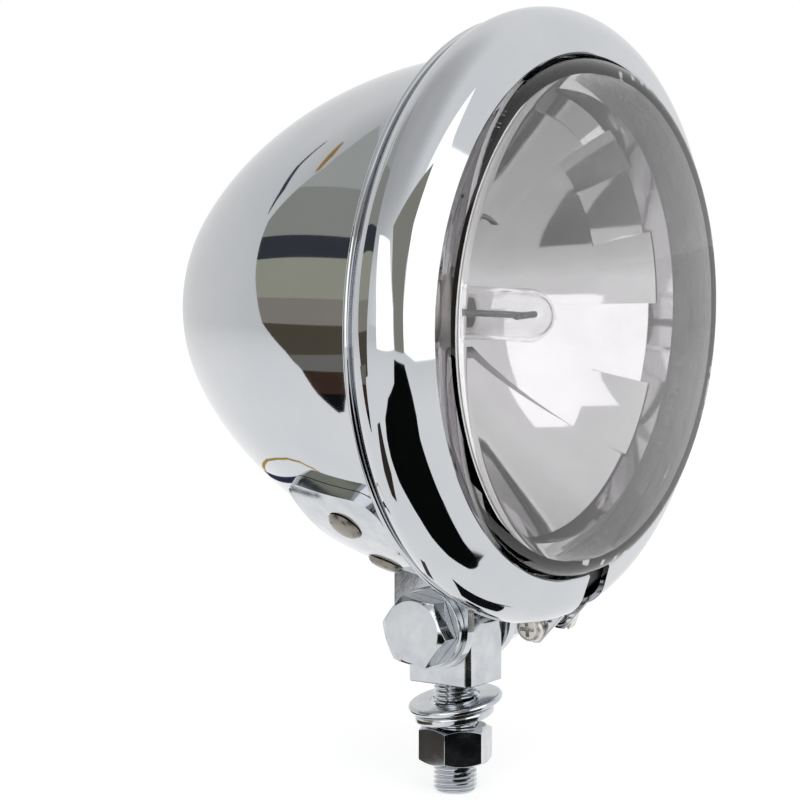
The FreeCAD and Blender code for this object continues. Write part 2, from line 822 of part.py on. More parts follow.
def build_bulb():
    """Base, glass envelope, filament and spring clip on the lamp's axis."""
    mirror_back = mirror_ahead(size.socket_radius) - size.reflector_wall
    seat = mirror_back - size.seat_gap
    cap_top = seat + size.bulb_cap
    hold_gap = size.seat_gap
    inner_cap = size.bulb_radius + hold_gap
    corners = [
        To(ZERO, seat - size.bulb_tail),
        To(size.bulb_tail_radius, seat - size.bulb_tail),
        To(size.bulb_tail_radius, seat - size.bulb_plate),
        To(size.bulb_plate_radius, seat - size.bulb_plate),
        To(size.bulb_plate_radius, seat),
        To(size.bulb_cap_radius, seat),
        To(size.bulb_cap_radius, cap_top),
        To(inner_cap, cap_top),
        To(inner_cap, seat),
        To(ZERO, seat),
    ]
    base = turned_body("bulb_base", "base", corners)

    glass_foot = seat + hold_gap
    shoulder = size.focus + size.bulb_tip - size.bulb_radius
    tip = size.focus + size.bulb_tip
    inner = size.bulb_radius - size.bulb_glass
    corners = [
        To(inner, glass_foot),
        To(size.bulb_radius, glass_foot),
        To(size.bulb_radius, shoulder),
        To(ZERO, tip, size.bulb_radius, left=True),
        To(ZERO, tip - size.bulb_glass),
        To(inner, shoulder, inner, left=False),
    ]
    envelope = turned_body("bulb_envelope", "envelope", corners)

    filament = lamp_body("bulb_filament")
    posts = sketch_on(filament, "post_outline", "XY_Plane", shift=seat + hold_gap / 2)
    circle(posts, -size.filament_span, ZERO, size.filament_wire)
    extrude(filament, "Pad", posts, "post", size.focus - seat - hold_gap / 2)
    far_posts = sketch_on(filament, "far_post_outline", "XY_Plane", shift=seat + hold_gap / 2)
    circle(far_posts, size.filament_span, ZERO, size.filament_wire)
    coil = sketch_on(filament, "coil_outline", "YZ_Plane")
    circle(coil, ZERO, size.focus, size.filament_coil)
    coil_half = size.filament_span + size.filament_overhang
    extrude(filament, "Pad", coil, "coil", coil_half * 2, middle=True)
    filament.Tip = extrude(filament, "Pad", far_posts, "far_post", size.focus - seat - hold_gap / 2)

    clip = lamp_body("bulb_clip")
    behind = seat - size.bulb_plate - size.clip_wire - hold_gap
    path = sketch_on(clip, "clip_path", "XY_Plane", shift=behind)
    half = size.bulb_cap_radius + size.clip_wire * 2
    start = Vector(-half.number, size.clip_reach.number, 0)
    points = [
        start,
        Vector(-half.number, 0, 0),
        Vector(half.number, 0, 0),
        Vector(half.number, size.clip_reach.number, 0),
    ]
    path.addGeometry(Part.LineSegment(points[0], points[1]), False)
    path.addGeometry(arc_between(points[1], points[2], half.number, True), False)
    path.addGeometry(Part.LineSegment(points[2], points[3]), False)
    path.addConstraint(Sketcher.Constraint("Coincident", 0, 2, 1, 1))
    path.addConstraint(Sketcher.Constraint("Coincident", 1, 2, 2, 1))
    place(path, 0, 1, -half, size.clip_reach)
    place(path, 0, 2, -half, ZERO)
    place(path, 1, 3, ZERO, ZERO)
    path.addConstraint(Sketcher.Constraint("PointOnObject", 2, 1, -1))
    place(path, 2, 2, half, size.clip_reach)
    wire = sketch_on(clip, "wire_outline", "XZ_Plane", shift=-size.clip_reach)
    circle(wire, -half, behind, size.clip_wire)
    sweep = clip.newObject("PartDesign::AdditivePipe", "wire")
    sweep.Profile = wire
    sweep.Spine = path
    return [base, envelope, filament, clip]


# Bracket and rivets


def build_bracket():
    body = lamp_body("bracket")
    near = size.seat_gap
    far = strip_bed
    section = sketch_on(body, "strip_section", "YZ_Plane")
    front = size.strip_front
    back = -size.strip_back
    outline(section, [
        To(-bowl_reach(front, near), front),
        To(-bowl_reach(back, near), back, bowl_side + near, left=True),
        To(-bowl_reach(back, far), back),
        To(-bowl_reach(front, far), front, bowl_side + far, left=False),
    ])
    revolve(body, "Revolution", section, "strip", size.strip_wrap * 2, middle=True)
    middle = size.strip / 2 + near
    ear_half = size.ear_width / 2
    for name, shift in (("ear_left", -ear_outside), ("ear_right", ear_inside)):
        ear = sketch_on(body, f"{name}_outline", "YZ_Plane", shift=shift)
        outline(ear, [
            To(-bowl_reach(ear_half, middle), ear_half),
            To(-bowl_reach(-ear_half, middle), -ear_half),
            To(-pivot_fall, -ear_half),
            To(-pivot_fall - ear_half, ZERO, ear_half, left=False),
            To(-pivot_fall, ear_half, ear_half, left=False),
        ])
        plate = extrude(body, "Pad", ear, name, size.ear)
    ends = edges_where(
        plate,
        lambda edge, spot: edge.Length < size.strip_corner.number / 2
        and abs(spot.x) > ear_outside.number * 2,
    )
    dress(body, "Fillet", plate, "strip_corners", ends, size.strip_corner)
    drill_rivets(body)
    pivot = sketch_on(body, "pivot_outline", "YZ_Plane")
    circle(pivot, -pivot_fall, ZERO, size.screw + size.hole_gap)
    body.Tip = extrude(body, "Pocket", pivot, "pivot_hole", ear_outside * THROUGH, middle=True)
    return body


def build_rivets():
    """Four rivets through the strip and the bowl, as one group."""
    frame = Placement(Vector(0, 0, axis_height.number), LAMP_TURN)
    gap = size.seat_gap
    under = -(size.bowl_wall + gap)
    top = strip_bed + gap
    corners = [
        To(ZERO, under - size.rivet_tail_height),
        To(size.rivet_tail, under - size.rivet_tail_height),
        To(size.rivet_tail, under),
        To(size.rivet_shank, under),
        To(size.rivet_shank, top),
        To(size.rivet_head, top),
        To(size.rivet_crown, top + size.rivet_head_height),
        To(ZERO, top + size.rivet_head_height),
    ]
    rivets = []
    for index, turn in enumerate(RIVET_TURNS, start=1):
        body = new_body(f"rivet_{index}")
        section = outline(sketch_on(body, f"rivet_{index}_section", "XZ_Plane"), corners)
        revolve(body, "Revolution", section, f"rivet_{index}_turned")
        spot, out = rivet_spot(turn)
        body.Placement = frame * Placement(spot, Rotation(Vector(0, 0, 1), out))
        rivets.append(body)
    group = doc.addObject("Part::Compound", "bracket_rivets")
    group.Label = "bracket_rivets"
    group.Links = rivets
    return group


# Threaded pieces


def corner_cut(body, name, low, high, both):
    """Turn the corners of a hexagon down to a round face at its top, and at its bottom too."""
    reach = hex_corner + size.hole_gap
    rise = (reach - size.hex_face) * sine(size.hex_slope) / cosine(size.hex_slope)
    section = sketch_on(body, f"{name}_section", "XZ_Plane")
    outline(section, [
        To(size.hex_face, high),
        To(reach, high - rise),
        To(reach, high + rise),
        To(size.hex_face, high + rise),
    ])
    if both:
        outline(section, [
            To(size.hex_face, low),
            To(size.hex_face, low - rise),
            To(reach, low - rise),
            To(reach, low + rise),
        ])
    return revolve(body, "Groove", section, name)


def build_nut(label):
    """Hexagon nut standing on its own origin."""
    body = new_body(label)
    flats = hexagon(sketch_on(body, f"{label}_outline", "XY_Plane"), size.hex_flats)
    circle(flats, ZERO, ZERO, size.screw + size.thread_gap)
    extrude(body, "Pad", flats, f"{label}_blank", size.nut_height)
    corner_cut(body, f"{label}_corners", ZERO, size.nut_height, True)
    return body


def build_pivot_bolt():
    """Bolt along its own z, with the underside of its head at the origin."""
    body = new_body("pivot_bolt")
    flats = hexagon(sketch_on(body, "head_outline", "XY_Plane"), size.hex_flats)
    extrude(body, "Pad", flats, "head", size.head_height)
    corner_cut(body, "head_corners", ZERO, size.head_height, False)
    length = (
        size.spring_section + size.seat_gap * 2 + ear_outside * 2 + size.nut_height + size.bolt_tail
    )
    shank = circle(sketch_on(body, "shank_outline", "XY_Plane"), ZERO, ZERO, size.screw)
    stem = extrude(body, "Pad", shank, "shank", length, reverse=True)
    tip = edges_where(
        stem,
        lambda edge, spot: is_circle(edge, size.screw) and spot.z < -length.number / 2,
    )
    body.Tip = dress(body, "Chamfer", stem, "shank_tip", tip, size.screw_chamfer)
    head_under = ear_outside + size.spring_section + size.seat_gap * 2
    body.Placement = Placement(
        Vector(-head_under.number, 0, size.pivot_height.number),
        Rotation(Vector(0, 1, 0), -90) * Rotation(Vector(0, 0, 1), size.head_turn.number),
    )
    body.setExpression("Placement.Base.x", (-head_under).text)
    body.setExpression("Placement.Base.z", size.pivot_height.text)
    return body


def build_pivot_nut():
    body = build_nut("pivot_nut")
    seat = ear_outside + size.seat_gap
    body.Placement = Placement(
        Vector(seat.number, 0, size.pivot_height.number), Rotation(Vector(0, 1, 0), 90)
    )
    body.setExpression("Placement.Base.x", seat.text)
    body.setExpression("Placement.Base.z", size.pivot_height.text)
    return body


def build_pivot_washer():
    """Spring washer that the bolt has pressed flat: a ring with a slanting split."""
    body = new_body("pivot_lock_washer")
    ring = sketch_on(body, "ring_outline", "XY_Plane")
    circle(ring, ZERO, ZERO, size.spring_washer)
    circle(ring, ZERO, ZERO, size.screw + size.hole_gap)
    extrude(body, "Pad", ring, "ring", size.spring_section)
    cut = sketch_on(body, "split_outline", "XZ_Plane")
    half = size.spring_split / 2
    outline(cut, [
        To(-half - size.spring_split, -size.spring_split / 4),
        To(half - size.spring_split, -size.spring_split / 4),
        To(half + size.spring_split, size.spring_section + size.spring_split / 4),
        To(-half + size.spring_split, size.spring_section + size.spring_split / 4),
    ])
    body.Tip = extrude(body, "Pocket", cut, "split", size.spring_washer * 2)
    seat = ear_outside + size.seat_gap
    body.Placement = Placement(
        Vector(-seat.number, 0, size.pivot_height.number), Rotation(Vector(0, 1, 0), -90)
    )
    body.setExpression("Placement.Base.x", (-seat).text)
    body.setExpression("Placement.Base.z", size.pivot_height.text)
    return body


def build_block():
    body = new_body("mount_block")
    half = size.block_depth / 2
    side = sketch_on(body, "side_outline", "YZ_Plane")
    outline(side, [
        To(-half, ZERO),
        To(half, ZERO),
        To(half, size.pivot_height),
        To(ZERO, size.pivot_height + half, half, left=True),
        To(-half, size.pivot_height, half, left=True),
    ])
    blank = extrude(body, "Pad", side, "blank", size.block_width, middle=True)
    flank = edges_where(
        blank,
        lambda edge, spot: abs(abs(spot.x) - size.block_width.number / 2) < TOUCH and spot.z > TOUCH,
    )
    dress(body, "Chamfer", blank, "eased_edges", flank, size.block_chamfer)
    bore = sketch_on(body, "bore_outline", "YZ_Plane")
    circle(bore, ZERO, size.pivot_height, size.screw + size.pivot_gap)
    extrude(body, "Pocket", bore, "bore", size.block_width / 2 * THROUGH, middle=True)
    socket = sketch_on(body, "stud_hole_outline", "XY_Plane")
    circle(socket, ZERO, ZERO, size.screw + size.thread_gap)
    depth = size.stud_grip + size.hole_gap
    body.Tip = extrude(body, "Pocket", socket, "stud_hole", depth, reverse=True)
    return body


def build_stud():
    body = new_body("mount_stud")
    rod = sketch_on(body, "rod_outline", "XY_Plane")
    circle(rod, ZERO, ZERO, size.screw)
    length = size.stud_grip + size.stud_reach
    stem = extrude(body, "Pad", rod, "rod", length)
    ends = edges_where(stem, lambda edge, spot: is_circle(edge, size.screw))
    dress(body, "Chamfer", stem, "rod_ends", ends, size.screw_chamfer)
    body.Placement = Placement(Vector(0, 0, -size.stud_reach.number), Rotation())
    body.setExpression("Placement.Base.z", (-size.stud_reach).text)
    return body


def build_stud_nut():
    body = build_nut("stud_nut")
    drop = size.nut_drop + size.nut_height
    body.Placement = Placement(
        Vector(0, 0, -drop.number), Rotation(Vector(0, 0, 1), size.nut_turn.number)
    )
    body.setExpression("Placement.Base.z", (-drop).text)
    body.setExpression("Placement.Rotation.Angle", size.nut_turn.text)
    return body


def lean_rotation(lean):
    """Turn that lifts the high side of a loose washer."""
    turn = math.radians(size.lean_turn.number)
    return Rotation(Vector(math.sin(turn), -math.cos(turn), 0), lean.number)


def build_stud_spring_washer():
    """Open spring washer: one climbing turn, leaning on the nut."""
    body = new_body("stud_lock_washer")
    section = sketch_on(body, "spring_section", "XZ_Plane")
    bore = size.screw + size.spring_slack
    outline(section, [
        To(bore, ZERO),
        To(size.spring_washer, ZERO),
        To(size.spring_washer, size.spring_section),
        To(bore, size.spring_section),
    ])
    coil = body.newObject("PartDesign::AdditiveHelix", "coil")
    coil.Profile = section
    coil.ReferenceAxis = (section, ["V_Axis"])
    coil.Mode = "pitch-turns-angle"
    coil.Pitch = size.spring_rise.number
    coil.setExpression("Pitch", size.spring_rise.text)
    turns = size_of(1) - size.spring_split / (size.spring_washer * 2 * math.pi)
    coil.Turns = turns.number
    coil.setExpression("Turns", turns.text)
    coil.Angle = 0
    coil.Growth = 0
    level = -size.nut_drop - size.spring_sink
    spin = Rotation(Vector(0, 0, 1), size.spring_turn.number)
    body.Placement = Placement(Vector(0, 0, level.number), lean_rotation(size.spring_lean) * spin)
    body.setExpression("Placement.Base.z", level.text)
    return body


def build_stud_washer():
    body = new_body("stud_washer")
    ring = sketch_on(body, "washer_outline", "XY_Plane")
    circle(ring, ZERO, ZERO, size.washer_radius)
    circle(ring, ZERO, ZERO, size.washer_hole)
    plate = extrude(body, "Pad", ring, "washer", size.washer, middle=True)
    rims = edges_where(plate, lambda edge, spot: is_circle(edge, size.washer_radius))
    dress(body, "Fillet", plate, "washer_rims", rims, size.washer_round)
    body.Placement = Placement(
        Vector(0, 0, -size.washer_drop.number), lean_rotation(size.washer_lean)
    )
    body.setExpression("Placement.Base.z", (-size.washer_drop).text)
    return body


def main():
    pieces = [
        build_housing(),
        build_grommet(),
        build_trim_ring(),
        build_clamp_screw(),
        build_clamp_nut(),
        build_lens(),
        build_gasket(),
        build_reflector(),
        *build_bulb(),
        build_bracket(),
        build_rivets(),
        build_pivot_bolt(),
        build_pivot_washer(),
        build_pivot_nut(),
        build_block(),
        build_stud(),
        build_stud_nut(),
        build_stud_spring_washer(),
        build_stud_washer(),
    ]
    doc.recompute()
    for item in doc.Objects:
        if "Invalid" in item.State or "Error" in item.State:
            raise RuntimeError(f"{item.Label} failed: {item.State}")
    for piece in pieces:
        shape = piece.Shape
        if shape.isNull() or not shape.isValid() or shape.Volume <= 0:
            raise RuntimeError(f"{piece.Label} has no valid solid")
    os.makedirs("parts", exist_ok=True)
    for piece in pieces:
        piece.Shape.exportStep(f"parts/{piece.Label}.step")
        solids = len(piece.Shape.Solids)
        print(f"{piece.Label}: {solids} solid(s), {piece.Shape.Volume / 1000:.2f} cm3")


main()
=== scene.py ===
import logging
import math
from contextlib import contextmanager
from dataclasses import dataclass
from enum import Enum
from typing import Any, Iterator, Sequence

import bpy
from mathutils import Matrix, Vector


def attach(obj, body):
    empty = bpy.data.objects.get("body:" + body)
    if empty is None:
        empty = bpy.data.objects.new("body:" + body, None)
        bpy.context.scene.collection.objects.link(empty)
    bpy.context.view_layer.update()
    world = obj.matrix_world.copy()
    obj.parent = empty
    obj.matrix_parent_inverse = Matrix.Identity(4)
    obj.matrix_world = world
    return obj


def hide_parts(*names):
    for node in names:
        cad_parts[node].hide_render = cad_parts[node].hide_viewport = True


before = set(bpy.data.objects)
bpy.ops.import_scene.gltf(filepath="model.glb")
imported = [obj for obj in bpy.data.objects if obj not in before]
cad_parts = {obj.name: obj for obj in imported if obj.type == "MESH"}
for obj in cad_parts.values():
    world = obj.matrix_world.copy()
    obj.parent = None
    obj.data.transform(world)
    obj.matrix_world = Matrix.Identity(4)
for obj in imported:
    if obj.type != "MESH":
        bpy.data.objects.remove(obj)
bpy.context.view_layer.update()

# The chromed spot lamp, dressed: bowl, split ring, lens, faceted mirror and bulb on a zinc-plated
# bracket that tilts on a block with a threaded stud. Sizes are millimetres until they reach a
# mesh. "Ahead" is the way along the lamp's axis towards its front, which faces -Y.

LOG = logging.getLogger("auxiliary_light")
MM = 0.001
WELD = 2e-6
FULL_TURN = 360.0
WHITE = "#FFFFFF"

# Angles in degrees: faces that count as one flat face, edges that get rounded, and edges that stay
# sharp on a lathed or a copied piece.
FLAT_ANGLE = 0.4
EASED_ANGLE = 35.0
LATHED_ANGLE = 30.0
COPIED_ANGLE = 25.0
EASED_STEPS = 4

# The 3/8 inch fine thread of the stud and the bolt: radius, pitch, chamfer, and depth as a share of
# the pitch.
SCREW = 4.7625
PITCH = 1.0583
SCREW_TIP = 0.9
THREAD_DEPTH = 0.6
# One turn of the thread: height and sink, as shares of the pitch and of the depth.
THREAD_WAVE = ((0.0, 1.0), (0.1, 1.0), (0.45, 0.0), (0.65, 0.0), (1.0, 1.0))

Spot = tuple[float, float]
Place = tuple[float, float, float]
Piece = bpy.types.Object
Tree = bpy.types.NodeTree
Node = bpy.types.Node
Socket = bpy.types.NodeSocket


class Body(Enum):
    """The two bodies that the tilt joint links."""

    MOUNT = "mount"
    LAMP = "lamp_head"


class Slot(Enum):
    """Material slots of the record."""

    CHROME = "chrome"
    ZINC = "zinc_plate"
    RIVET = "rivet_steel"
    NICKEL = "nickel_plate"
    LENS = "clear_glass"
    BULB = "bulb_glass"
    MIRROR = "mirror"
    RUBBER = "black_rubber"
    WIRE = "spring_wire"


class Merge(Enum):
    """How one solid acts on another."""

    CUT = "DIFFERENCE"
    KEEP = "INTERSECT"


# Colours and nodes


def linear(code: str) -> tuple[float, float, float, float]:
    """Turn an sRGB hex colour into linear light.

    Args:
        code: Six hex digits after a hash sign.

    Returns:
        Red, green, blue and a full alpha.
    """
    parts = [int(code[place:place + 2], 16) / 255 for place in (1, 3, 5)]
    lit = [part / 12.92 if part <= 0.04045 else ((part + 0.055) / 1.055) ** 2.4 for part in parts]
    return (lit[0], lit[1], lit[2], 1.0)


def new_material(name: str) -> bpy.types.Material:
    """Start a material with an empty node tree."""
    made = bpy.data.materials.new(name)
    made.use_nodes = True
    made.node_tree.nodes.clear()
    return made


def add_node(tree: Tree, kind: str, sockets: dict[str | int, Any], **settings: Any) -> Node:
    """Add a node, set it up and link it.

    Args:
        tree: Node tree that gets the node.
        kind: Blender's name of the node type.
        sockets: Value or feeding socket of each input, by the input's name, or by its place where
            inputs share a name.
        settings: Plain properties of the node.

    Returns:
        The new node.
    """
    node = tree.nodes.new(kind)
    for name, value in settings.items():
        setattr(node, name, value)
    for name, value in sockets.items():
        if isinstance(value, Socket):
            tree.links.new(value, node.inputs[name])
        else:
            node.inputs[name].default_value = value
    return node


def noise(tree: Tree, length: float, **sockets: float) -> Socket:
    """Add noise that repeats about every so many millimetres."""
    where = add_node(tree, "ShaderNodeTexCoord", {}).outputs["Object"]
    return add_node(tree, "ShaderNodeTexNoise", {
        "Vector": where, "Scale": 1.0 / (length * MM), **sockets,
    }).outputs["Fac"]


def remap(tree: Tree, value: Socket, old: Spot, new: Spot = (0.0, 1.0), soft: bool = False) -> Socket:
    """Stretch a value from one range to another, with soft ends if asked."""
    return add_node(tree, "ShaderNodeMapRange", {
        "Value": value, "From Min": old[0], "From Max": old[1], "To Min": new[0], "To Max": new[1],
    }, interpolation_type="SMOOTHSTEP" if soft else "LINEAR").outputs["Result"]


@dataclass(frozen=True)
class Finish:
    """A surface finish that builds its own material."""

    name: str
    colour: str

    def material(self) -> bpy.types.Material:
        """Give the finish's material, made at its first use."""
        known = bpy.data.materials.get(self.name)
        if known:
            return known
        made = new_material(self.name)
        made.diffuse_color = linear(self.colour)
        shader = self.shade(made.node_tree)
        add_node(made.node_tree, "ShaderNodeOutputMaterial", {"Surface": shader.outputs[0]})
        return made

    def shade(self, tree: Tree) -> Node:
        """Build the nodes of the finish and give its shader."""
        raise NotImplementedError


@dataclass(frozen=True)
class PlatedMetal(Finish):
    """Metal whose gloss and tone drift in soft patches over a fine grain."""

    second: str = WHITE
    patch: float = 12.0
    gloss: Spot = (0.04, 0.1)
    grain: float = 6.0
    relief: float = 0.002
    strength: float = 0.1

    def shade(self, tree: Tree) -> Node:
        """Build patches for colour and roughness, and a grain for the bump."""
        patches = noise(tree, self.patch, Detail=5.0, Roughness=0.6)
        tone = remap(tree, patches, (0.35, 0.65))
        colour = add_node(tree, "ShaderNodeMix", {
            "Factor": tone, "A": linear(self.colour), "B": linear(self.second),
        }, data_type="RGBA").outputs["Result"]
        haze = remap(tree, patches, (0.3, 0.7), self.gloss)
        grit = noise(tree, self.grain, Detail=3.0)
        bump = add_node(tree, "ShaderNodeBump", {
            "Height": grit, "Strength": self.strength, "Distance": self.relief * MM,
        }).outputs["Normal"]
        return add_node(tree, "ShaderNodeBsdfPrincipled", {
            "Base Color": colour, "Metallic": 1.0, "Roughness": haze, "Normal": bump,
        })


@dataclass(frozen=True)
class Glass(Finish):
    """Clear pressed glass with a faint flow in its surface."""

    index: float = 1.52
    flow: float = 18.0
    relief: float = 0.02
    strength: float = 0.1

    def shade(self, tree: Tree) -> Node:
        """Build a clear shader with a slow ripple."""
        waves = noise(tree, self.flow, Detail=2.0)
        bump = add_node(tree, "ShaderNodeBump", {
            "Height": waves, "Strength": self.strength, "Distance": self.relief * MM,
        }).outputs["Normal"]
        return add_node(tree, "ShaderNodeBsdfPrincipled", {
            "Base Color": linear(self.colour), "Roughness": 0.0, "IOR": self.index,
            "Transmission Weight": 1.0, "Normal": bump,
        })


@dataclass(frozen=True)
class Rubber(Finish):
    """Moulded black rubber: dull, with a grey bloom and a pebbled skin."""

    bloom: str = "#2B2C2E"
    patch: float = 7.0
    pebble: float = 0.7
    relief: float = 0.05
    strength: float = 0.3
    rough: float = 0.55

    def shade(self, tree: Tree) -> Node:
        """Build the bloom's patches and the pebbled bump."""
        patches = noise(tree, self.patch, Detail=4.0)
        colour = add_node(tree, "ShaderNodeMix", {
            "Factor": patches, "A": linear(self.colour), "B": linear(self.bloom),
        }, data_type="RGBA").outputs["Result"]
        skin = noise(tree, self.pebble, Detail=2.0)
        bump = add_node(tree, "ShaderNodeBump", {
            "Height": skin, "Strength": self.strength, "Distance": self.relief * MM,
        }).outputs["Normal"]
        return add_node(tree, "ShaderNodeBsdfPrincipled", {
            "Base Color": colour, "Roughness": self.rough, "Normal": bump,
        })


# Bright chromium over polished steel: near-mirror, with a slow ripple and faint wiped haze.
CHROME = PlatedMetal("chromium_plate", "#C3C6CA", "#C9CBCE", 26.0, (0.03, 0.055), 14.0, 0.02, 0.03)
# Bright zinc over cut and pressed steel: pale blue-grey patches and a fine satin grain.
ZINC = PlatedMetal("bright_zinc_plate", "#BCC0C5", "#CFD1D3", 5.0, (0.07, 0.17), 0.6, 0.012, 0.3)
# Bare steel rivets dulled by age: brownish grey and half matt.
RIVET = PlatedMetal("aged_rivet_steel", "#7C7871", "#918C84", 3.0, (0.2, 0.34), 0.5, 0.02, 0.35)
# Nickel on small turned brass and steel: a warm grey, darkened as a painted reflection of a dark table.
NICKEL = PlatedMetal("nickel_plate", "#8E8A83", "#A29E97", 3.0, (0.06, 0.16), 0.5, 0.01, 0.3)
# Vacuum-coated aluminium on the pressed mirror: bright, with a slight wave.
MIRROR = PlatedMetal("vacuum_coated_aluminium", "#CDCBCD", "#D6D4D6", 20.0, (0.03, 0.07), 9.0, 0.02, 0.08)
# Drawn tungsten and spring wire: dark grey with a soft shine.
WIRE = PlatedMetal("drawn_dark_wire", "#4B4A4C", "#605F60", 2.0, (0.25, 0.4), 0.3, 0.01, 0.3)
# Thick soda-lime lens glass: clear, with a faint grey tint.
LENS_GLASS = Glass("soda_lime_lens_glass", "#F4F4F4")
# Thin quartz of the bulb: clear as water.
BULB_GLASS = Glass("quartz_bulb_glass", "#F7F7F8", 1.46, 10.0, 0.005)
# Black rubber of the seal and the bush: dull, with a grey bloom.
RUBBER = Rubber("moulded_black_rubber", "#141415")


# Modelling moves


class Bench:
    """Modelling moves on one piece at a time, each made with Blender's operators."""

    @staticmethod
    def clear() -> None:
        """Deselect everything, so that the next move touches one piece alone."""
        if bpy.context.object and bpy.context.object.mode != "OBJECT":
            bpy.ops.object.mode_set(mode="OBJECT")
        bpy.ops.object.select_all(action="DESELECT")

    @staticmethod
    def hold(piece: Piece) -> None:
        """Select one piece alone."""
        Bench.clear()
        piece.select_set(True)
        bpy.context.view_layer.objects.active = piece

    @staticmethod
    @contextmanager
    def editing() -> Iterator[None]:
        """Open the active piece in edit mode with all of it selected, and close it afterwards."""
        bpy.ops.object.mode_set(mode="EDIT")
        bpy.ops.mesh.select_all(action="SELECT")
        yield
        bpy.ops.object.mode_set(mode="OBJECT")

    @staticmethod
    def apply(piece: Piece, kind: str, **settings: Any) -> None:
        """Add a modifier to a piece, set it up and apply it."""
        Bench.hold(piece)
        bpy.ops.object.modifier_add(type=kind)
        added = piece.modifiers[-1]
        for name, value in settings.items():
            setattr(added, name, value)
        bpy.ops.object.modifier_apply(modifier=added.name)

    @staticmethod
    def draw(name: str, spots: Sequence[Place]) -> Piece:
        """Draw a line of edges: a plane merged to a point and extruded from spot to spot.

        Args:
            name: Name of the new piece.
            spots: Places to pass through.

        Returns:
            The piece, a line so far.
        """
        Bench.clear()
        bpy.ops.mesh.primitive_plane_add(size=MM, location=Vector(spots[0]) * MM)
        piece = bpy.context.object
        piece.name = name
        piece.data.name = name
        with Bench.editing():
            bpy.ops.mesh.merge(type="CENTER")
            for here, there in zip(spots, spots[1:]):
                step = (Vector(there) - Vector(here)) * MM
                bpy.ops.mesh.extrude_region_move(TRANSFORM_OT_translate={"value": step})
        bpy.ops.object.transform_apply(location=True, rotation=True, scale=True)
        return piece

    @staticmethod
    def turn(
        name: str, profile: Sequence[Spot], steps: int, start: float = 0.0, sweep: float = FULL_TURN,
    ) -> Piece:
        """Turn a profile about the Z axis.

        Args:
            name: Name of the new piece.
            profile: Radius and height of each corner.
            steps: Faces around the turn.
            start: Angle from +X where the turn starts, in degrees.
            sweep: Angle of the turn, in degrees.

        Returns:
            The closed piece, still on the Z axis.
        """
        angle = math.radians(start)
        spots = [(r * math.cos(angle), r * math.sin(angle), h) for r, h in profile]
        piece = Bench.draw(name, spots)
        with Bench.editing():
            bpy.ops.mesh.spin(steps=steps, angle=math.radians(sweep), center=(0, 0, 0), axis=(0, 0, -1))
            Bench.weld()
            if sweep < FULL_TURN:
                bpy.ops.mesh.fill_holes(sides=0)
            bpy.ops.mesh.normals_make_consistent(inside=False)
        return piece

    @staticmethod
    def rod(name: str, radius: float, low: float, high: float, steps: int = 32) -> Piece:
        """Turn a plain rod to cut with."""
        return Bench.turn(name, [(0.0, low), (radius, low), (radius, high), (0.0, high)], steps)

    @staticmethod
    def weld() -> None:
        """Merge the points of the piece in edit mode that lie on each other."""
        bpy.ops.mesh.select_all(action="SELECT")
        bpy.ops.mesh.remove_doubles(threshold=WELD)
        bpy.ops.mesh.select_all(action="SELECT")

    @staticmethod
    def recast(name: str, node: str) -> Piece:
        """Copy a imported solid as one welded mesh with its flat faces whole.

        Args:
            name: Name of the new piece.
            node: Node whose shape is copied.

        Returns:
            The piece, in the node's place.
        """
        piece = bpy.data.objects.new(name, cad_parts[node].data.copy())
        bpy.context.scene.collection.objects.link(piece)
        Bench.hold(piece)
        bpy.ops.mesh.customdata_custom_splitnormals_clear()
        with Bench.editing():
            Bench.weld()
            bpy.ops.mesh.dissolve_limited(angle_limit=math.radians(FLAT_ANGLE))
        return piece

    @staticmethod
    def seat(piece: Piece, place: Matrix) -> None:
        """Move a piece from the bench to its place, which stays in its mesh."""
        Bench.hold(piece)
        piece.matrix_world = place
        bpy.ops.object.transform_apply(location=True, rotation=True, scale=True)

    @staticmethod
    def combine(piece: Piece, tool: Piece, merge: Merge) -> None:
        """Cut a tool out of a piece, or keep only what the two share."""
        Bench.apply(piece, "BOOLEAN", operation=merge.value, solver="EXACT", object=tool)
        bpy.data.objects.remove(tool)

    @staticmethod
    def soften(piece: Piece, width: float) -> None:
        """Round the piece's sharp edges by a width in millimetres."""
        Bench.apply(
            piece, "BEVEL", width=width * MM, segments=EASED_STEPS, limit_method="ANGLE",
            angle_limit=math.radians(EASED_ANGLE),
        )

    @staticmethod
    def smooth(piece: Piece, angle: float = LATHED_ANGLE) -> None:
        """Shade a piece smooth, apart from edges sharper than an angle."""
        Bench.hold(piece)
        bpy.ops.object.shade_smooth_by_angle(angle=math.radians(angle))

    @staticmethod
    def ease(piece: Piece, width: float) -> None:
        """Round a copied piece's edges, and let its wide faces look flat right up to them."""
        if width:
            Bench.soften(piece, width)
        Bench.smooth(piece, COPIED_ANGLE)
        Bench.apply(piece, "WEIGHTED_NORMAL", weight=100, keep_sharp=True)

    @staticmethod
    def join(piece: Piece, others: Sequence[Piece]) -> None:
        """Take other meshes into a piece."""
        Bench.hold(piece)
        for other in others:
            other.select_set(True)
        bpy.ops.object.join()

    @staticmethod
    def wind(piece: Piece, climb: float, steps: int, sweep: float = FULL_TURN, rounds: int = 1) -> None:
        """Wind a drawn section up around the Z axis and close its ends.

        Args:
            piece: The drawn section.
            climb: Rise of one round.
            steps: Steps of one round.
            sweep: Angle of one round, in degrees.
            rounds: Number of rounds.
        """
        Bench.apply(
            piece, "SCREW", axis="Z", angle=math.radians(sweep), screw_offset=climb * MM, iterations=rounds,
            steps=steps, render_steps=steps, use_merge_vertices=True, merge_threshold=WELD,
        )
        with Bench.editing():
            Bench.weld()
            bpy.ops.mesh.fill_holes(sides=0)
            bpy.ops.mesh.normals_make_consistent(inside=False)

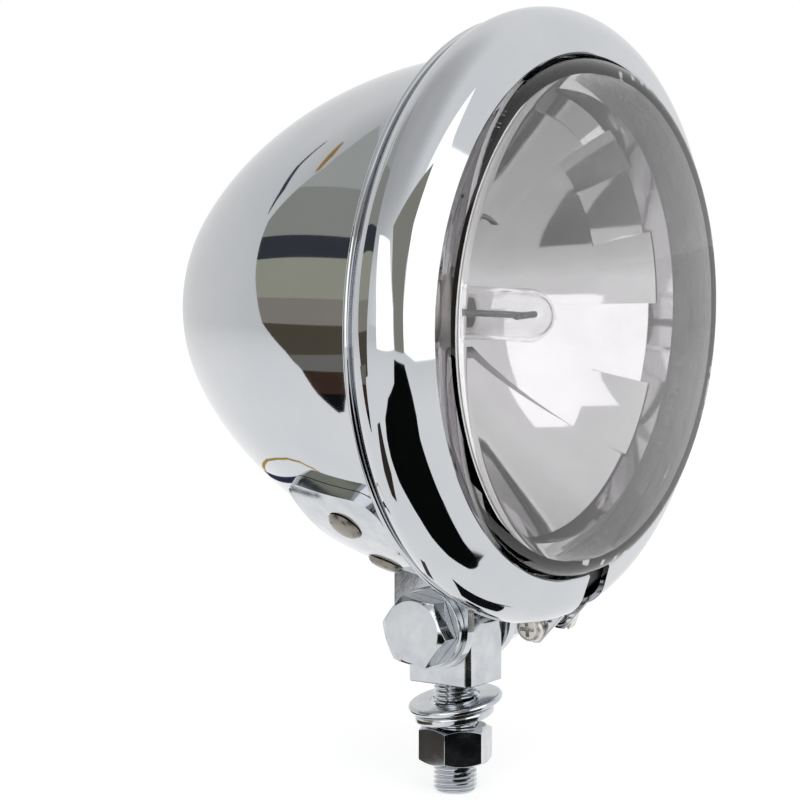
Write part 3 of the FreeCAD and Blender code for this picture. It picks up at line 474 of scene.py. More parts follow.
    @staticmethod
    def thread(name: str, low: float, high: float) -> Piece:
        """Model a threaded rod on the Z axis.

        Args:
            name: Name of the new piece.
            low: Lower end.
            high: Upper end.

        Returns:
            The closed rod, chamfered at both ends.
        """
        depth = PITCH * THREAD_DEPTH
        floor = low - 2 * PITCH
        piece = Bench.draw(name, [
            (SCREW - sink * depth, 0.0, floor + part * PITCH) for part, sink in THREAD_WAVE
        ])
        Bench.wind(piece, PITCH, steps=40, rounds=math.ceil((high - low) / PITCH) + 4)
        tip, wide = SCREW - SCREW_TIP, SCREW + PITCH
        blank = Bench.turn(f"{name}_blank", [
            (0.0, low), (tip, low), (wide, low + SCREW_TIP + PITCH), (wide, high - SCREW_TIP - PITCH),
            (tip, high), (0.0, high),
        ], steps=48)
        Bench.combine(piece, blank, Merge.KEEP)
        return piece


def arc(across: float, along: float, radius: float, first: float, last: float, count: int) -> list[Spot]:
    """Points on an arc of a profile.

    Args:
        across: Centre's distance from the axis.
        along: Centre's place along the axis.
        radius: Radius of the arc.
        first: First angle, in degrees from outwards to ahead.
        last: Last angle.
        count: Steps of the arc.

    Returns:
        The points, both ends among them.
    """
    angles = [math.radians(first + (last - first) * step / count) for step in range(count + 1)]
    return [(across + radius * math.cos(turn), along + radius * math.sin(turn)) for turn in angles]


@dataclass
class SubAssembly:
    """Pieces that move with one body."""

    body: Body = Body.LAMP

    def hand_over(self, piece: Piece, finish: Finish, slot: Slot, *nodes: str) -> None:
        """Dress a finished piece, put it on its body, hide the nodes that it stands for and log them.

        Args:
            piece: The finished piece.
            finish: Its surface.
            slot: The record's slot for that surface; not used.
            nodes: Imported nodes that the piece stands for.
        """
        piece.data.materials.clear()
        piece.data.materials.append(finish.material())
        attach(piece, self.body.value)
        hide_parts(*nodes)
        LOG.info("%s: %d faces, for %s", piece.name, len(piece.data.polygons), ", ".join(nodes))

    def copy_over(self, name: str, node: str, finish: Finish, slot: Slot, ease: float = 0.0) -> None:
        """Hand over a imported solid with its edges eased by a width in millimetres."""
        piece = Bench.recast(name, node)
        Bench.ease(piece, ease)
        self.hand_over(piece, finish, slot, node)


@dataclass
class Bowl(SubAssembly):
    """The chromed bowl with its turned-out edge, and the rubber bush in its back."""

    mouth_radius: float = 55.8
    mouth: float = 15.6
    depth: float = 79.8
    nose: float = 39.5
    wall: float = 1.2
    flange: float = 2.1
    edge_ease: float = 0.3
    bush_fall: float = 32.0
    bush_hole: float = 4.9
    drill_reach: Spot = (30.0, 50.0)

    @property
    def nose_centre(self) -> float:
        """Centre of the round back, along the axis."""
        return self.mouth - self.depth + self.nose

    @property
    def side(self) -> float:
        """Radius of the bowl's side."""
        reach = self.mouth - self.nose_centre
        square = self.mouth_radius ** 2 + reach ** 2 - self.nose ** 2
        return square / (2 * (self.mouth_radius - self.nose))

    @property
    def side_centre(self) -> float:
        """Centre of the bowl's side, across the axis."""
        return self.mouth_radius - self.side

    def reach(self, ahead: float, offset: float) -> float:
        """Radius of the bowl, grown by an offset, at a place along the axis."""
        return self.side_centre + math.sqrt((self.side + offset) ** 2 - (self.mouth - ahead) ** 2)

    def shell(self, offset: float) -> list[Spot]:
        """Profile from the pole to the mouth, grown by an offset."""
        turn = math.degrees(math.atan2(self.nose_centre - self.mouth, -self.side_centre))
        back = arc(0.0, self.nose_centre, self.nose + offset, -90.0, turn, count=26)
        side = arc(self.side_centre, self.mouth, self.side + offset, turn, 0.0, count=44)
        return [(0.0, back[0][1])] + back[1:] + side[1:]

    def build(self, lamp: Matrix) -> None:
        """Model the bowl and its bush and set them on the lamp's axis."""
        edge = self.mouth_radius + self.flange
        front = self.mouth + self.wall
        outer, inner = self.shell(0.0), self.shell(-self.wall)
        ease = self.edge_ease
        brim = [
            (edge - ease, self.mouth), (edge, self.mouth + ease),
            (edge, front - ease), (edge - ease, front),
        ]
        profile = outer + brim + [(inner[-1][0], front)] + inner[::-1]
        bowl = Bench.turn("chromed_bowl", profile, steps=256)
        Bench.seat(bowl, lamp)
        fall = math.radians(self.bush_fall)
        way = Vector((0.0, math.cos(fall), -math.sin(fall)))
        middle = lamp @ Vector((0.0, 0.0, self.nose_centre * MM))
        drill = Bench.rod("bush_drill", self.bush_hole, *self.drill_reach, steps=64)
        Bench.seat(drill, Matrix.Translation(middle) @ way.to_track_quat("Z", "Y").to_matrix().to_4x4())
        Bench.combine(bowl, drill, Merge.CUT)
        Bench.smooth(bowl)
        self.hand_over(bowl, CHROME, Slot.CHROME, "housing")
        self.copy_over("cable_bush", "cable_grommet", RUBBER, Slot.RUBBER, ease=0.3)


@dataclass
class TrimRing(SubAssembly):
    """The split chromed ring around the lens, and the screw and nut that close it."""

    opening: float = 55.0
    outer: float = 65.1
    sheet: float = 1.2
    bulge: float = 8.0
    front: float = 31.5
    lip_front: float = 15.5
    lip_back: float = 14.3
    lip_inside: float = 56.2
    lip_outside: float = 63.0
    crease: float = 15.8
    split: float = 9.0
    split_turn: float = 8.5
    tab: float = 1.5
    screw_lie: float = 26.0
    screw_head: float = 3.2
    screw_hole: float = 2.2
    fit_gap: float = 0.2
    edge_tuck: float = 0.35
    edge_turn: Spot = (0.15, 0.2)
    edge_flat: float = 0.6
    tab_ease: float = 0.2

    @property
    def bulge_centre(self) -> Spot:
        """Centre of the round outer edge."""
        return (self.outer - self.bulge, self.lip_front + self.bulge - self.sheet)

    def profile(self) -> list[Spot]:
        """Section of the sheet, once around."""
        across, ahead = self.bulge_centre
        span = math.hypot(self.opening - across, self.front - ahead)
        lean = math.degrees(math.atan2(self.front - ahead, self.opening - across))
        lean -= math.degrees(math.acos(self.bulge / span))
        tail = -math.degrees(math.asin((ahead - self.crease) / self.bulge))
        inner = self.bulge - self.sheet
        inside = math.radians(lean)
        strip = (across + inner * math.cos(inside), ahead + inner * math.sin(inside))
        rear = (self.crease - self.lip_back) / 2
        start = (self.opening + self.edge_tuck, self.front - self.sheet)
        return (
            [start, (self.opening, self.front - self.sheet / 2)]
            + [(self.opening + self.edge_turn[0], self.front - self.edge_turn[1])]
            + [(self.opening + self.edge_flat, self.front)]
            + arc(across, ahead, self.bulge, lean, tail, count=48)
            + arc(self.lip_outside - rear, self.lip_back + rear, rear, 90.0, -90.0, count=16)
            + [(self.lip_inside, self.lip_back), (self.lip_inside, self.lip_front)]
            + [(across, self.lip_front)]
            + arc(across, ahead, inner, -90.0, lean, count=24)[1:-1] + [strip, start]
        )

    def build(self, lamp: Matrix) -> None:
        """Model the ring with its two tabs, and dress its screw and nut."""
        middle = -90.0 + self.split_turn
        half = math.degrees(math.asin(self.split / 2 / (self.outer - self.bulge / 2)))
        sweep = FULL_TURN - 2 * half
        ring = Bench.turn("split_trim_ring", self.profile(), steps=480, start=middle + half, sweep=sweep)
        tabs = [self.clamp_tab(side) for side in (-1, 1)]
        Bench.join(ring, tabs)
        Bench.seat(ring, lamp)
        Bench.smooth(ring)
        self.hand_over(ring, CHROME, Slot.CHROME, "trim_ring")
        self.copy_over("ring_screw", "clamp_screw", NICKEL, Slot.NICKEL, ease=0.12)
        self.copy_over("ring_square_nut", "clamp_nut", NICKEL, Slot.NICKEL, ease=0.25)

    def clamp_tab(self, side: int) -> Piece:
        """Model one of the two tabs that the screw pulls together."""
        across, ahead = self.bulge_centre
        lie = math.radians(self.screw_lie)
        away = self.bulge + self.screw_head + self.fit_gap
        centre = (across + away * math.cos(lie), ahead - away * math.sin(lie))
        middle = self.bulge - self.sheet / 2
        boss = self.screw_head + self.sheet / 2
        outline = (
            arc(across, ahead, middle, -90.0 + self.screw_lie, self.screw_lie, count=12)
            + [(centre[0] + boss, centre[1] + self.sheet)]
            + arc(centre[0], centre[1], boss, 0.0, -90.0, count=10)
            + [(centre[0] - boss, centre[1] - boss)]
        )
        face = self.split / 2 * side
        piece = Bench.draw(f"ring_tab_{side + 2}", [(face, -r, h) for r, h in outline])
        thick = Vector((self.tab * side * MM, 0.0, 0.0))
        with Bench.editing():
            bpy.ops.mesh.edge_face_add()
            bpy.ops.mesh.extrude_region_move(TRANSFORM_OT_translate={"value": thick})
            Bench.weld()
            bpy.ops.mesh.normals_make_consistent(inside=False)
        drill = Bench.rod("tab_drill", self.screw_hole, -self.split, self.split)
        Bench.seat(drill, Matrix.Translation(Vector((0.0, -centre[0], centre[1])) * MM)
                   @ Matrix.Rotation(math.pi / 2, 4, "Y"))
        Bench.combine(piece, drill, Merge.CUT)
        Bench.soften(piece, self.tab_ease)
        Bench.seat(piece, Matrix.Rotation(math.radians(self.split_turn), 4, "Z"))
        return piece


@dataclass(frozen=True)
class Facet:
    """One pressed field of the mirror: its angles, its radii, its focal length and its lift."""

    first: float
    last: float
    inner: float
    outer: float
    focal: float
    lift: float


# The mirror's fields: seven around the bulb, and a row of five small ones along the edge.
FACETS = (
    Facet(0, 56, 9, 38, 21.2, 0.5),
    Facet(56, 114, 9, 22, 21.6, 0.4),
    Facet(56, 114, 22, 43, 25.5, 1.7),
    Facet(114, 180, 9, 46.5, 21, 1.2),
    Facet(180, 238, 9, 46.5, 22, 0.5),
    Facet(238, 316, 9, 46.5, 21.2, 1),
    Facet(316, 360, 9, 38, 23.4, 1.9),
    Facet(-44, -22, 38, 46.8, 18.5, 1.4),
    Facet(-22, 0, 38, 46.8, 25, 0.8),
    Facet(0, 20, 38, 46.8, 19, 1.4),
    Facet(20, 40, 38, 46.8, 25, 0.8),
    Facet(40, 56, 38, 46.8, 19, 1.2),
)


@dataclass
class Optics(SubAssembly):
    """The domed lens, its seal, the faceted mirror and the bulb."""

    focus: float = 16.2
    focal: float = 22.2
    wall: float = 1.6
    socket: float = 9.0
    rim: float = 47.0
    seat: float = 23.1
    lens_seat: float = 24.6
    lens_front: float = 28.0
    lens_skirt: float = 54.4
    lens_rim: float = 58.0
    shoulder: float = 4.5
    shoulder_ahead: float = 31.3
    crown: float = 40.4
    glass: float = 4.0
    edge_ease: float = 0.3
    field_steps: int = 28
    field_turn: float = 2.0

    def build(self, lamp: Matrix) -> None:
        """Model the lens and the mirror, and dress the seal and the bulb."""
        self.build_lens(lamp)
        self.build_mirror(lamp)
        self.copy_over("lens_seal", "lens_gasket", RUBBER, Slot.RUBBER)
        self.copy_over("bulb_holder_cap", "bulb_base", NICKEL, Slot.NICKEL, ease=0.2)
        self.copy_over("bulb_quartz", "bulb_envelope", BULB_GLASS, Slot.BULB)
        self.copy_over("bulb_coil", "bulb_filament", WIRE, Slot.WIRE)
        self.copy_over("bulb_spring_wire", "bulb_clip", WIRE, Slot.WIRE)

    def build_lens(self, lamp: Matrix) -> None:
        """Model the lens: a flat edge, an upright side, a round shoulder and a shallow dome."""
        side = self.lens_skirt - self.shoulder
        rise = self.crown - self.shoulder_ahead
        dome = (side ** 2 + rise ** 2 - self.shoulder ** 2) / (2 * (rise - self.shoulder))
        centre = self.crown - dome
        touch = math.degrees(math.atan2(self.shoulder_ahead - centre, side))
        inside = self.lens_skirt - self.glass
        inner_dome = dome - self.glass
        inner_touch = math.degrees(math.acos(inside / inner_dome))
        outer = arc(side, self.shoulder_ahead, self.shoulder, 0.0, touch, count=16)
        outer += arc(0.0, centre, dome, touch, 90.0, count=30)[1:]
        outer[-1] = (0.0, self.crown)
        inner = arc(0.0, centre, inner_dome, 90.0, inner_touch, count=30)
        inner[0] = (0.0, self.crown - self.glass)
        rim, ease = self.lens_rim, self.edge_ease
        edge = [
            (inside, self.lens_seat), (rim - ease, self.lens_seat),
            (rim, self.lens_seat + ease), (rim, self.lens_front - ease),
            (rim - ease, self.lens_front), (self.lens_skirt, self.lens_front),
        ]
        lens = Bench.turn("domed_lens", edge + outer + inner + edge[:1], steps=256)
        Bench.seat(lens, lamp)
        Bench.smooth(lens)
        self.hand_over(lens, LENS_GLASS, Slot.LENS, "lens")

    def mirror_ahead(self, across: float, focal: float) -> float:
        """Place along the axis of a mirror that is focused on the filament."""
        return self.focus - focal + across ** 2 / (4 * focal)

    def mirror_run(self, inner: float, outer: float, focal: float, lift: float) -> list[Spot]:
        """Points along a mirror's curve from one radius to another."""
        middle = (inner + outer) / 2
        rise = self.mirror_ahead(middle, self.focal)
        count = self.field_steps
        reach = [inner + (outer - inner) * step / count for step in range(count + 1)]
        return [(r, rise + lift + (r ** 2 - middle ** 2) / (4 * focal)) for r in reach]

    def build_mirror(self, lamp: Matrix) -> None:
        """Model the mirror's dish, then each pressed field as a raised shell on it."""
        front = self.mirror_run(self.socket, self.rim, self.focal, 0.0)
        back = [(r, h - self.wall) for r, h in front]
        edge = [
            (self.rim + self.wall / 4, self.lens_seat), (self.lens_rim, self.lens_seat),
            (self.lens_rim, self.seat), (self.rim + self.wall, self.seat),
            (self.rim + self.wall, back[-1][1]),
        ]
        dish = front + edge + back[::-1] + front[:1]
        mirror = Bench.turn("faceted_mirror", dish, steps=192)
        fields = []
        for place, facet in enumerate(FACETS):
            face = self.mirror_run(facet.inner, facet.outer, facet.focal, facet.lift)
            bed = [(r, self.mirror_ahead(r, self.focal) - self.wall / 2) for r, _ in face]
            sweep = facet.last - facet.first
            steps = round(sweep / self.field_turn)
            outline = face + bed[::-1] + face[:1]
            fields.append(Bench.turn(f"mirror_field_{place}", outline, steps, facet.first, sweep))
        Bench.join(mirror, fields)
        Bench.seat(mirror, lamp)
        Bench.smooth(mirror)
        self.hand_over(mirror, MIRROR, Slot.MIRROR, "reflector")


# Half a rivet: the set end inside the bowl, the shank, and the domed head. Heights are from the bowl.
RIVET_SECTION = (
    (0.0, -2.8), (3.2, -2.8), (3.2, -1.3), (2.0, -1.3), (2.0, 2.8), (4.0, 2.8),
    (3.75, 3.1), (3.35, 3.54), (2.85, 3.83), (2.0, 4.0), (0.0, 4.1),
)


@dataclass
class Bracket(SubAssembly):
    """The riveted strip with its two ears, and the bolt that the lamp tilts on."""

    rivet_turns: tuple[float, ...] = (-42.0, -24.0, 24.0, 42.0)
    rivet_setback: float = 17.6
    pivot: float = 13.0
    strip_drop: float = 10.16
    strip: float = 2.6
    bed_gap: float = 0.1
    thread_start: float = 10.0
    bolt_end: float = 20.33
    bolt_ease: float = 0.15

    def axis_height(self, bowl: Bowl) -> float:
        """Height of the lamp's axis: up from the pivot to the strip, and on by the bowl that it holds."""
        return self.pivot + self.strip_drop + bowl.reach(0.0, self.bed_gap + self.strip)

    def build(self, lamp: Matrix, bowl: Bowl) -> None:
        """Dress the strip and the pivot pieces, and model the rivets."""
        self.copy_over("riveted_bracket", "bracket", ZINC, Slot.ZINC, ease=0.35)
        self.build_rivets(lamp, bowl)
        self.build_bolt()
        self.copy_over("tilt_lock_washer", "pivot_lock_washer", ZINC, Slot.ZINC, ease=0.3)
        self.copy_over("tilt_nut", "pivot_nut", ZINC, Slot.ZINC, ease=0.15)

    def build_rivets(self, lamp: Matrix, bowl: Bowl) -> None:
        """Model the four domed rivets, square to the bowl."""
        lean = math.asin(self.rivet_setback / bowl.side)
        across = bowl.side_centre + bowl.side * math.cos(lean)
        rivets = []
        for turn in self.rivet_turns:
            around = math.radians(turn)
            side = Vector((math.sin(around), -math.cos(around), 0.0))
            spot = side * across + Vector((0.0, 0.0, bowl.mouth - self.rivet_setback))
            out = side * math.cos(lean) - Vector((0.0, 0.0, math.sin(lean)))
            rivet = Bench.turn("round_rivets", RIVET_SECTION, steps=48)
            aim = out.to_track_quat("Z", "Y").to_matrix().to_4x4()
            Bench.seat(rivet, lamp @ Matrix.Translation(spot * MM) @ aim)
            rivets.append(rivet)
        Bench.join(rivets[0], rivets[1:])
        Bench.smooth(rivets[0])
        self.hand_over(rivets[0], RIVET, Slot.RIVET, "bracket_rivets")

    def build_bolt(self) -> None:
        """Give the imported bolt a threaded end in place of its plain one."""
        lie = Matrix.Translation((0.0, 0.0, self.pivot * MM)) @ Matrix.Rotation(math.pi / 2, 4, "Y")
        bolt = Bench.recast("tilt_bolt", "pivot_bolt")
        wide = SCREW * 2
        tail = Bench.rod("tail_cut", wide, self.thread_start, self.bolt_end + wide)
        Bench.seat(tail, lie)
        Bench.combine(bolt, tail, Merge.CUT)
        Bench.ease(bolt, self.bolt_ease)
        thread = Bench.thread("tilt_thread", self.thread_start, self.bolt_end)
        Bench.seat(thread, lie)
        Bench.smooth(thread)
        Bench.join(bolt, [thread])
        self.hand_over(bolt, ZINC, Slot.ZINC, "pivot_bolt")


@dataclass
class Mount(SubAssembly):
    """The swivel block and its stud with the loose nut and washers."""

    body: Body = Body.MOUNT
    low: float = -24.6
    high: float = 6.8
    washer: float = 1.6
    washer_radius: float = 10.4
    washer_hole: float = 5.6
    washer_drop: float = 4.6
    washer_lean: float = 10.5
    spring_bore: float = 5.4625
    spring_radius: float = 8.7
    spring_section: float = 2.1
    spring_round: float = 0.8
    spring_climb: float = 3.0
    spring_sweep: float = 352.1
    spring_drop: float = 10.3
    spring_lean: float = 4.9
    spring_turn: float = -20.0
    lean_turn: float = -24.0

    def build(self) -> None:
        """Model the threaded stud and dress the pieces around it."""
        self.copy_over("swivel_block", "mount_block", ZINC, Slot.ZINC, ease=0.3)
        stud = Bench.thread("threaded_stud", self.low, self.high)
        Bench.smooth(stud)
        self.hand_over(stud, ZINC, Slot.ZINC, "mount_stud")
        self.copy_over("stud_hex_nut", "stud_nut", ZINC, Slot.ZINC, ease=0.15)
        self.build_plain_washer()
        self.build_spring_washer()

    def build_plain_washer(self) -> None:
        """Model the loose plain washer with its round rim."""
        half = self.washer / 2
        rim = arc(self.washer_radius - half, 0.0, half, -90.0, 90.0, count=12)
        hole = [(self.washer_hole, half), (self.washer_hole, -half)]
        plain = Bench.turn("plain_washer", hole[1:] + rim + hole, steps=128)
        Bench.seat(plain, self.leaning(self.washer_drop, self.washer_lean))
        Bench.smooth(plain)
        self.hand_over(plain, ZINC, Slot.ZINC, "stud_washer")

    def build_spring_washer(self) -> None:
        """Model the open spring washer: a rounded section that climbs around the stud."""
        ease = self.spring_round
        inner, outer = self.spring_bore + ease, self.spring_radius - ease
        low, high = ease, self.spring_section - ease
        corners = ((outer, low, -90.0), (outer, high, 0.0), (inner, high, 90.0), (inner, low, 180.0))
        section = [
            (across, 0.0, along) for middle, level, first in corners
            for across, along in arc(middle, level, ease, first, first + 90.0, count=6)
        ]
        spring = Bench.draw("open_lock_washer", section)
        climb = self.spring_climb * self.spring_sweep / FULL_TURN
        Bench.wind(spring, climb, steps=128, sweep=self.spring_sweep)
        turn = Matrix.Rotation(math.radians(self.spring_turn), 4, "Z")
        Bench.seat(spring, self.leaning(self.spring_drop, self.spring_lean) @ turn)
        Bench.smooth(spring)
        self.hand_over(spring, ZINC, Slot.ZINC, "stud_lock_washer")

    def leaning(self, drop: float, lean: float) -> Matrix:
        """Place of a loose washer, a drop below the block and leaning by an angle in degrees."""
        turn = math.radians(self.lean_turn)
        axis = Vector((math.sin(turn), -math.cos(turn), 0.0))
        return Matrix.Translation((0.0, 0.0, -drop * MM)) @ Matrix.Rotation(math.radians(lean), 4, axis)


CARD_LEVEL = -23.5


@dataclass(frozen=True)
class Card:
    """A card around the lamp that only shows in the metal or through the glass."""

    name: str
    colour: str
    corners: tuple[Place, ...]
    glow: float = 1.0
    in_metal: bool = True
    in_glass: bool = True


def floor_card(name: str, colour: str, *spots: Spot, in_metal: bool = True) -> Card:
    """A card that lies just above the floor, and shows either in the metal or through the glass."""
    corners = tuple((across, along, CARD_LEVEL) for across, along in spots)
    return Card(name, colour, corners, in_metal=in_metal, in_glass=not in_metal)


# What stands around the lamp, as the metal and the glass show it: the pale wall and shelves behind
# it, tiles, leads and cords, a dark table in front, cards close to the stud and its nut, the grey
# shape of whoever holds the camera, and two bright windows.
CARDS = (
    Card("high_wall_card", "#B6B8B4", (
        (46, 427, 598), (-24, 476, 557), (-70, 522, 505), (-85, 567, 440), (-312, 407, 544),
        (-228, 412, 578), (-113, 414, 607),
    )),
    Card("wall_card", "#A0A09A", (
        (-85, 567, 440), (-100, 622, 335), (-128, 634, 290), (-484, 404, 404), (-434, 404, 462),
        (-312, 407, 544),
    )),
    Card("dark_shelf_card", "#3F4349", (
        (-128, 634, 290), (-165, 642, 226), (-548, 384, 329), (-484, 404, 404),
    )),
    Card("olive_shelf_card", "#ACAC9C", (
        (-165, 642, 226), (-222, 641, 115), (-593, 387, 162), (-548, 384, 329),
    )),
    Card("grey_shelf_card", "#98928A", (
        (-222, 641, 115), (-252, 630, 36), (-583, 397, 50), (-593, 387, 162),
    )),
    Card("brown_shelf_card", "#5A5348", (
        (-252, 630, 36), (-255, 425, -21), (-215, 300, -22), (-310, 200, -22), (-445, 300, -21),
        (-583, 397, 50),
    )),
    Card("grey_tile_card", "#7C7B76", (
        (-115, 127, 44), (-120, 118, 30), (-150, 86, 27), (-160, 80, 45),
    )),
    Card("brown_tile_card", "#45342C", (
        (-120, 118, 30), (-119, 107, 9), (-139, 85, 6), (-150, 86, 27),
    )),
    Card("black_tile_card", "#161618", (
        (-119, 107, 9), (-120, 92, -9), (-125, 88, -9), (-139, 85, 6),
    )),
    floor_card(
        "black_table_card", "#0B0C0C",
        (-443, -356), (-285, -197), (-254, -79), (-202, -20), (-164, -8), (-136, -9), (-110, -18),
        (-93, -30), (-75, -39), (-59, -42), (-40, -50), (-16, -65), (25, -104), (16, -119), (13, -140),
        (11, -163), (-8, -190), (-41, -234), (-40, -304), (-70, -360), (-128, -410), (-240, -504),
    ),
    floor_card(
        "brown_table_card", "#3A332E",
        (-190, 28), (-115, 8), (-84, 18), (-84, 34), (-105, 46), (-180, 52),
    ),
    floor_card(
        "amber_lead_card", "#B99B52",
        (130, 207), (75, 182.5), (35, 164.5), (5, 147.3), (-17, 132), (-30, 116.5), (-36, 100), (-38, 83),
        (-36.5, 83), (-34.3, 99.5), (-28.2, 115), (-15.2, 130), (6.5, 145), (36.5, 162), (76.5, 179.5),
        (132, 203),
    ),
    floor_card(
        "blue_lead_card", "#34354D",
        (160, 222), (-3, 117), (-27, 85), (-23.5, 83), (1.5, 112.5), (164, 216),
    ),
    Card("dark_cord_card", "#4A4A52", (
        (-70, 621, 342), (-21, 598, 394), (45, 568, 440), (90, 521, 494), (88, 516, 499), (38, 563, 452),
        (-32, 590, 408), (-70, 618, 348),
    )),
    Card("amber_cord_card", "#A8823F", (
        (-64, 540, 480), (-10, 515, 512), (30, 494, 536), (24, 490, 542), (-28, 508, 525),
        (-66, 531, 494),
    )),
    floor_card(
        "lens_table_card", "#343335",
        (64, -60), (56, -102), (42, -149), (30, -222), (-50, -222), (-20, -134), (-6, -80), (30, -52),
        in_metal=False,
    ),
    floor_card(
        "stud_front_card", "#15161A",
        (-30, -20), (-12, -4), (-1, -9), (8, -16), (8, -34),
    ),
    Card("nut_front_card", "#0E0F10", (
        (-30, -19, -24), (6, -36, -24), (6, -36, -11), (-30, -19, -11),
    )),
    Card("nut_left_card", "#4A4642", (
        (-32, 17, -24), (4, 37, -24), (4, 37, -12), (-32, 17, -12),
    )),
    Card("figure_card", "#9B988F", (
        (-608, -127, 456), (-631, -244, 360), (-630, -344, 244), (-587, -445, 136), (-545, -489, -22),
        (-290, -667, -22), (-346, -646, 136), (-338, -630, 244), (-249, -626, 360), (-30, -612, 456),
    ), in_glass=False),
    Card("left_window_card", WHITE, (
        (-592, 273, 413), (-736, 100, 138), (-736, 74, -22), (-576, -483, -22), (-617, -436, 138),
        (-660, -113, 413),
    ), glow=1.9),
    Card("front_window_card", WHITE, (
        (-229, -573, 531), (-370, -690, -22), (196, -722, -22), (243, -540, 531),
    ), glow=1.9),
)


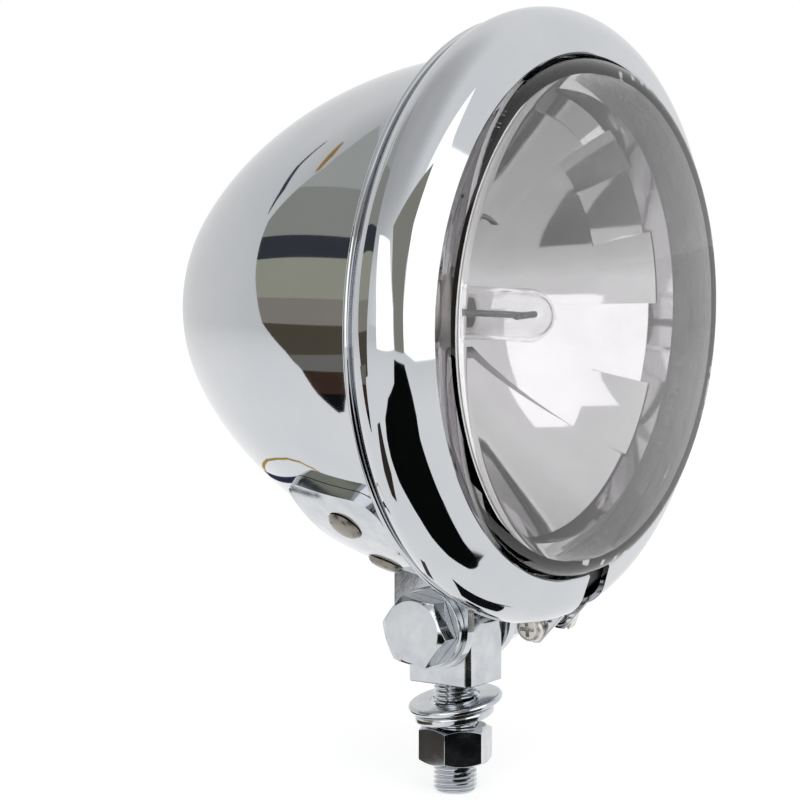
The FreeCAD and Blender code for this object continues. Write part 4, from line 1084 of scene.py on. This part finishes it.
@dataclass
class Studio:
    """A pale floor, soft lights, cards for the chrome and the glass to show, and the camera."""

    azimuth: float = -55.66
    elevation: float = 5.82
    target: Place = (-21.9, -0.3, 63.2)
    distance: float = 650.0
    lens: float = 139.05
    sensor: float = 36.0
    near: float = 10.0
    floor: float = -24.7
    floor_size: float = 12000.0
    floor_glow: float = 0.45
    fill: float = 0.65
    aim: float = 70.0

    def build(self) -> None:
        """Set up everything around the lamp."""
        self.build_camera()
        self.build_world()
        self.build_floor()
        self.build_lamps()
        bpy.context.scene.view_settings.view_transform = "Standard"

    def build_camera(self) -> None:
        """Place the camera where the photograph was taken from."""
        turn, rise = math.radians(self.azimuth - 90.0), math.radians(self.elevation)
        back = Vector((math.cos(rise) * math.cos(turn), math.cos(rise) * math.sin(turn), math.sin(rise)))
        data = bpy.data.cameras.new("photo_view")
        data.lens = self.lens
        data.sensor_width = self.sensor
        data.clip_start = self.near * MM
        camera = bpy.data.objects.new("photo_view", data)
        camera.location = (Vector(self.target) + back * self.distance) * MM
        camera.rotation_euler = back.to_track_quat("Z", "Y").to_euler()
        bpy.context.scene.collection.objects.link(camera)
        bpy.context.scene.camera = camera
        LOG.info("camera at %s", [round(part, 4) for part in camera.location])

    def build_world(self) -> None:
        """Light everything evenly, show white to the camera, and a softly toned room to metal and glass."""
        world = bpy.data.worlds.new("white_room")
        bpy.context.scene.world = world
        world.use_nodes = True
        tree = world.node_tree
        tree.nodes.clear()
        path = add_node(tree, "ShaderNodeLightPath", {})
        mirrored = add_node(tree, "ShaderNodeMath", {
            0: path.outputs["Is Glossy Ray"], 1: path.outputs["Is Transmission Ray"],
        }, operation="MAXIMUM").outputs[0]
        way = add_node(tree, "ShaderNodeTexCoord", {}).outputs["Generated"]
        parts = add_node(tree, "ShaderNodeSeparateXYZ", {"Vector": way})
        behind = remap(tree, parts.outputs["Y"], (0.0, 0.9), (1.0, 0.82), soft=True)
        upper_left = add_node(tree, "ShaderNodeVectorMath", {
            0: way, 1: (-0.35, 0.25, 0.9),
        }, operation="DOT_PRODUCT").outputs["Value"]
        above = remap(tree, upper_left, (0.55, 0.95), (1.0, 0.62), soft=True)
        room = add_node(tree, "ShaderNodeMath", {0: behind, 1: above}, operation="MULTIPLY").outputs[0]
        fill = add_node(tree, "ShaderNodeMix", {
            "Factor": mirrored, "A": self.fill, "B": room,
        }).outputs["Result"]
        level = add_node(tree, "ShaderNodeMix", {
            "Factor": path.outputs["Is Camera Ray"], "A": fill, "B": 1.0,
        }).outputs["Result"]
        shade = add_node(tree, "ShaderNodeBackground", {"Color": linear(WHITE), "Strength": level})
        add_node(tree, "ShaderNodeOutputWorld", {"Surface": shade.outputs[0]})

    def build_floor(self) -> None:
        """Lay a pale floor that keeps the lamp's shadow; metal sees it with painted light that fades with
        distance, and glass sees it with painted shade near the lamp.
        """
        Bench.clear()
        bpy.ops.mesh.primitive_plane_add(size=self.floor_size * MM, location=(0.0, 0.0, self.floor * MM))
        floor = bpy.context.object
        floor.name = "pale_floor"
        made = new_material("white_paper_floor")
        tree = made.node_tree
        path = add_node(tree, "ShaderNodeLightPath", {})

        def glow(strength: float | Socket) -> Node:
            """Add white light of a fixed strength, or of the strength that a socket gives."""
            return add_node(tree, "ShaderNodeEmission", {"Color": linear(WHITE), "Strength": strength})

        def shown(ray: str, usual: Node, special: Node) -> Node:
            """Show one kind of ray a shader of its own."""
            return add_node(tree, "ShaderNodeMixShader", {
                0: path.outputs[ray], 1: usual.outputs[0], 2: special.outputs[0],
            })

        paper = add_node(tree, "ShaderNodeBsdfDiffuse", {"Color": linear("#F4F4F4")})
        lit = add_node(tree, "ShaderNodeAddShader", {
            0: paper.outputs[0], 1: glow(self.floor_glow).outputs[0],
        })
        where = add_node(tree, "ShaderNodeTexCoord", {}).outputs["Object"]
        far = add_node(tree, "ShaderNodeVectorMath", {0: where}, operation="LENGTH").outputs["Value"]
        # Painted light: to metal the floor glows brighter near the lamp and fades with distance.
        sheen = remap(tree, far, (0.12, 1.2), (1.05, 0.82), soft=True)
        # Painted shade: through glass the floor glows darker near the lamp.
        depth = remap(tree, far, (0.06, 0.4), (0.3, 1.0))
        shader = shown("Is Diffuse Ray", lit, paper)
        shader = shown("Is Glossy Ray", shader, glow(sheen))
        shader = shown("Is Transmission Ray", shader, glow(depth))
        add_node(tree, "ShaderNodeOutputMaterial", {"Surface": shader.outputs[0]})
        floor.data.materials.append(made)

    def build_lamps(self) -> None:
        """Hang the soft boxes, and set up the cards that give chrome and mirror their contrast."""
        self.soft_box("key_box", (-700.0, -600.0, 900.0), wide=700.0, high=500.0, watts=3.2)
        self.soft_box("side_box", (1000.0, -650.0, 90.0), wide=500.0, high=320.0, watts=1.0)
        for card in CARDS:
            self.hang(card)

    def hang(self, card: Card) -> None:
        """Hang a card, out of sight of the camera and out of the way of the light."""
        piece = Bench.draw(card.name, card.corners)
        with Bench.editing():
            bpy.ops.mesh.edge_face_add()
        made = new_material(f"{card.name}_cloth")
        tone = add_node(made.node_tree, "ShaderNodeEmission", {
            "Color": linear(card.colour), "Strength": card.glow,
        })
        add_node(made.node_tree, "ShaderNodeOutputMaterial", {"Surface": tone.outputs[0]})
        piece.data.materials.append(made)
        piece.visible_camera = False
        piece.visible_diffuse = False
        piece.visible_shadow = False
        piece.visible_glossy = card.in_metal
        piece.visible_transmission = card.in_glass

    def soft_box(self, name: str, spot: Place, wide: float, high: float, watts: float) -> None:
        """Hang a soft box that faces the lamp and shows neither in metal nor through glass.

        Args:
            name: Name of the light.
            spot: Its place.
            wide: Width.
            high: Height.
            watts: Power.
        """
        data = bpy.data.lights.new(name, "AREA")
        data.shape = "RECTANGLE"
        data.size = wide * MM
        data.size_y = high * MM
        data.energy = watts
        box = bpy.data.objects.new(name, data)
        box.visible_glossy = False
        box.visible_transmission = False
        box.location = Vector(spot) * MM
        back = Vector(spot) - Vector((0.0, 0.0, self.aim))
        box.rotation_euler = back.to_track_quat("Z", "Y").to_euler()
        bpy.context.scene.collection.objects.link(box)


def main() -> None:
    """Build the studio and the lamp, piece by piece."""
    logging.basicConfig(level=logging.INFO, format="%(name)s: %(message)s")
    bowl, bracket = Bowl(), Bracket()
    axis = Matrix.Translation((0.0, 0.0, bracket.axis_height(bowl) * MM))
    lamp = axis @ Matrix.Rotation(math.pi / 2, 4, "X")
    Studio().build()
    bowl.build(lamp)
    TrimRing().build(lamp)
    Optics().build(lamp)
    bracket.build(lamp, bowl)
    Mount().build()


if __name__ == "__main__":
    main()
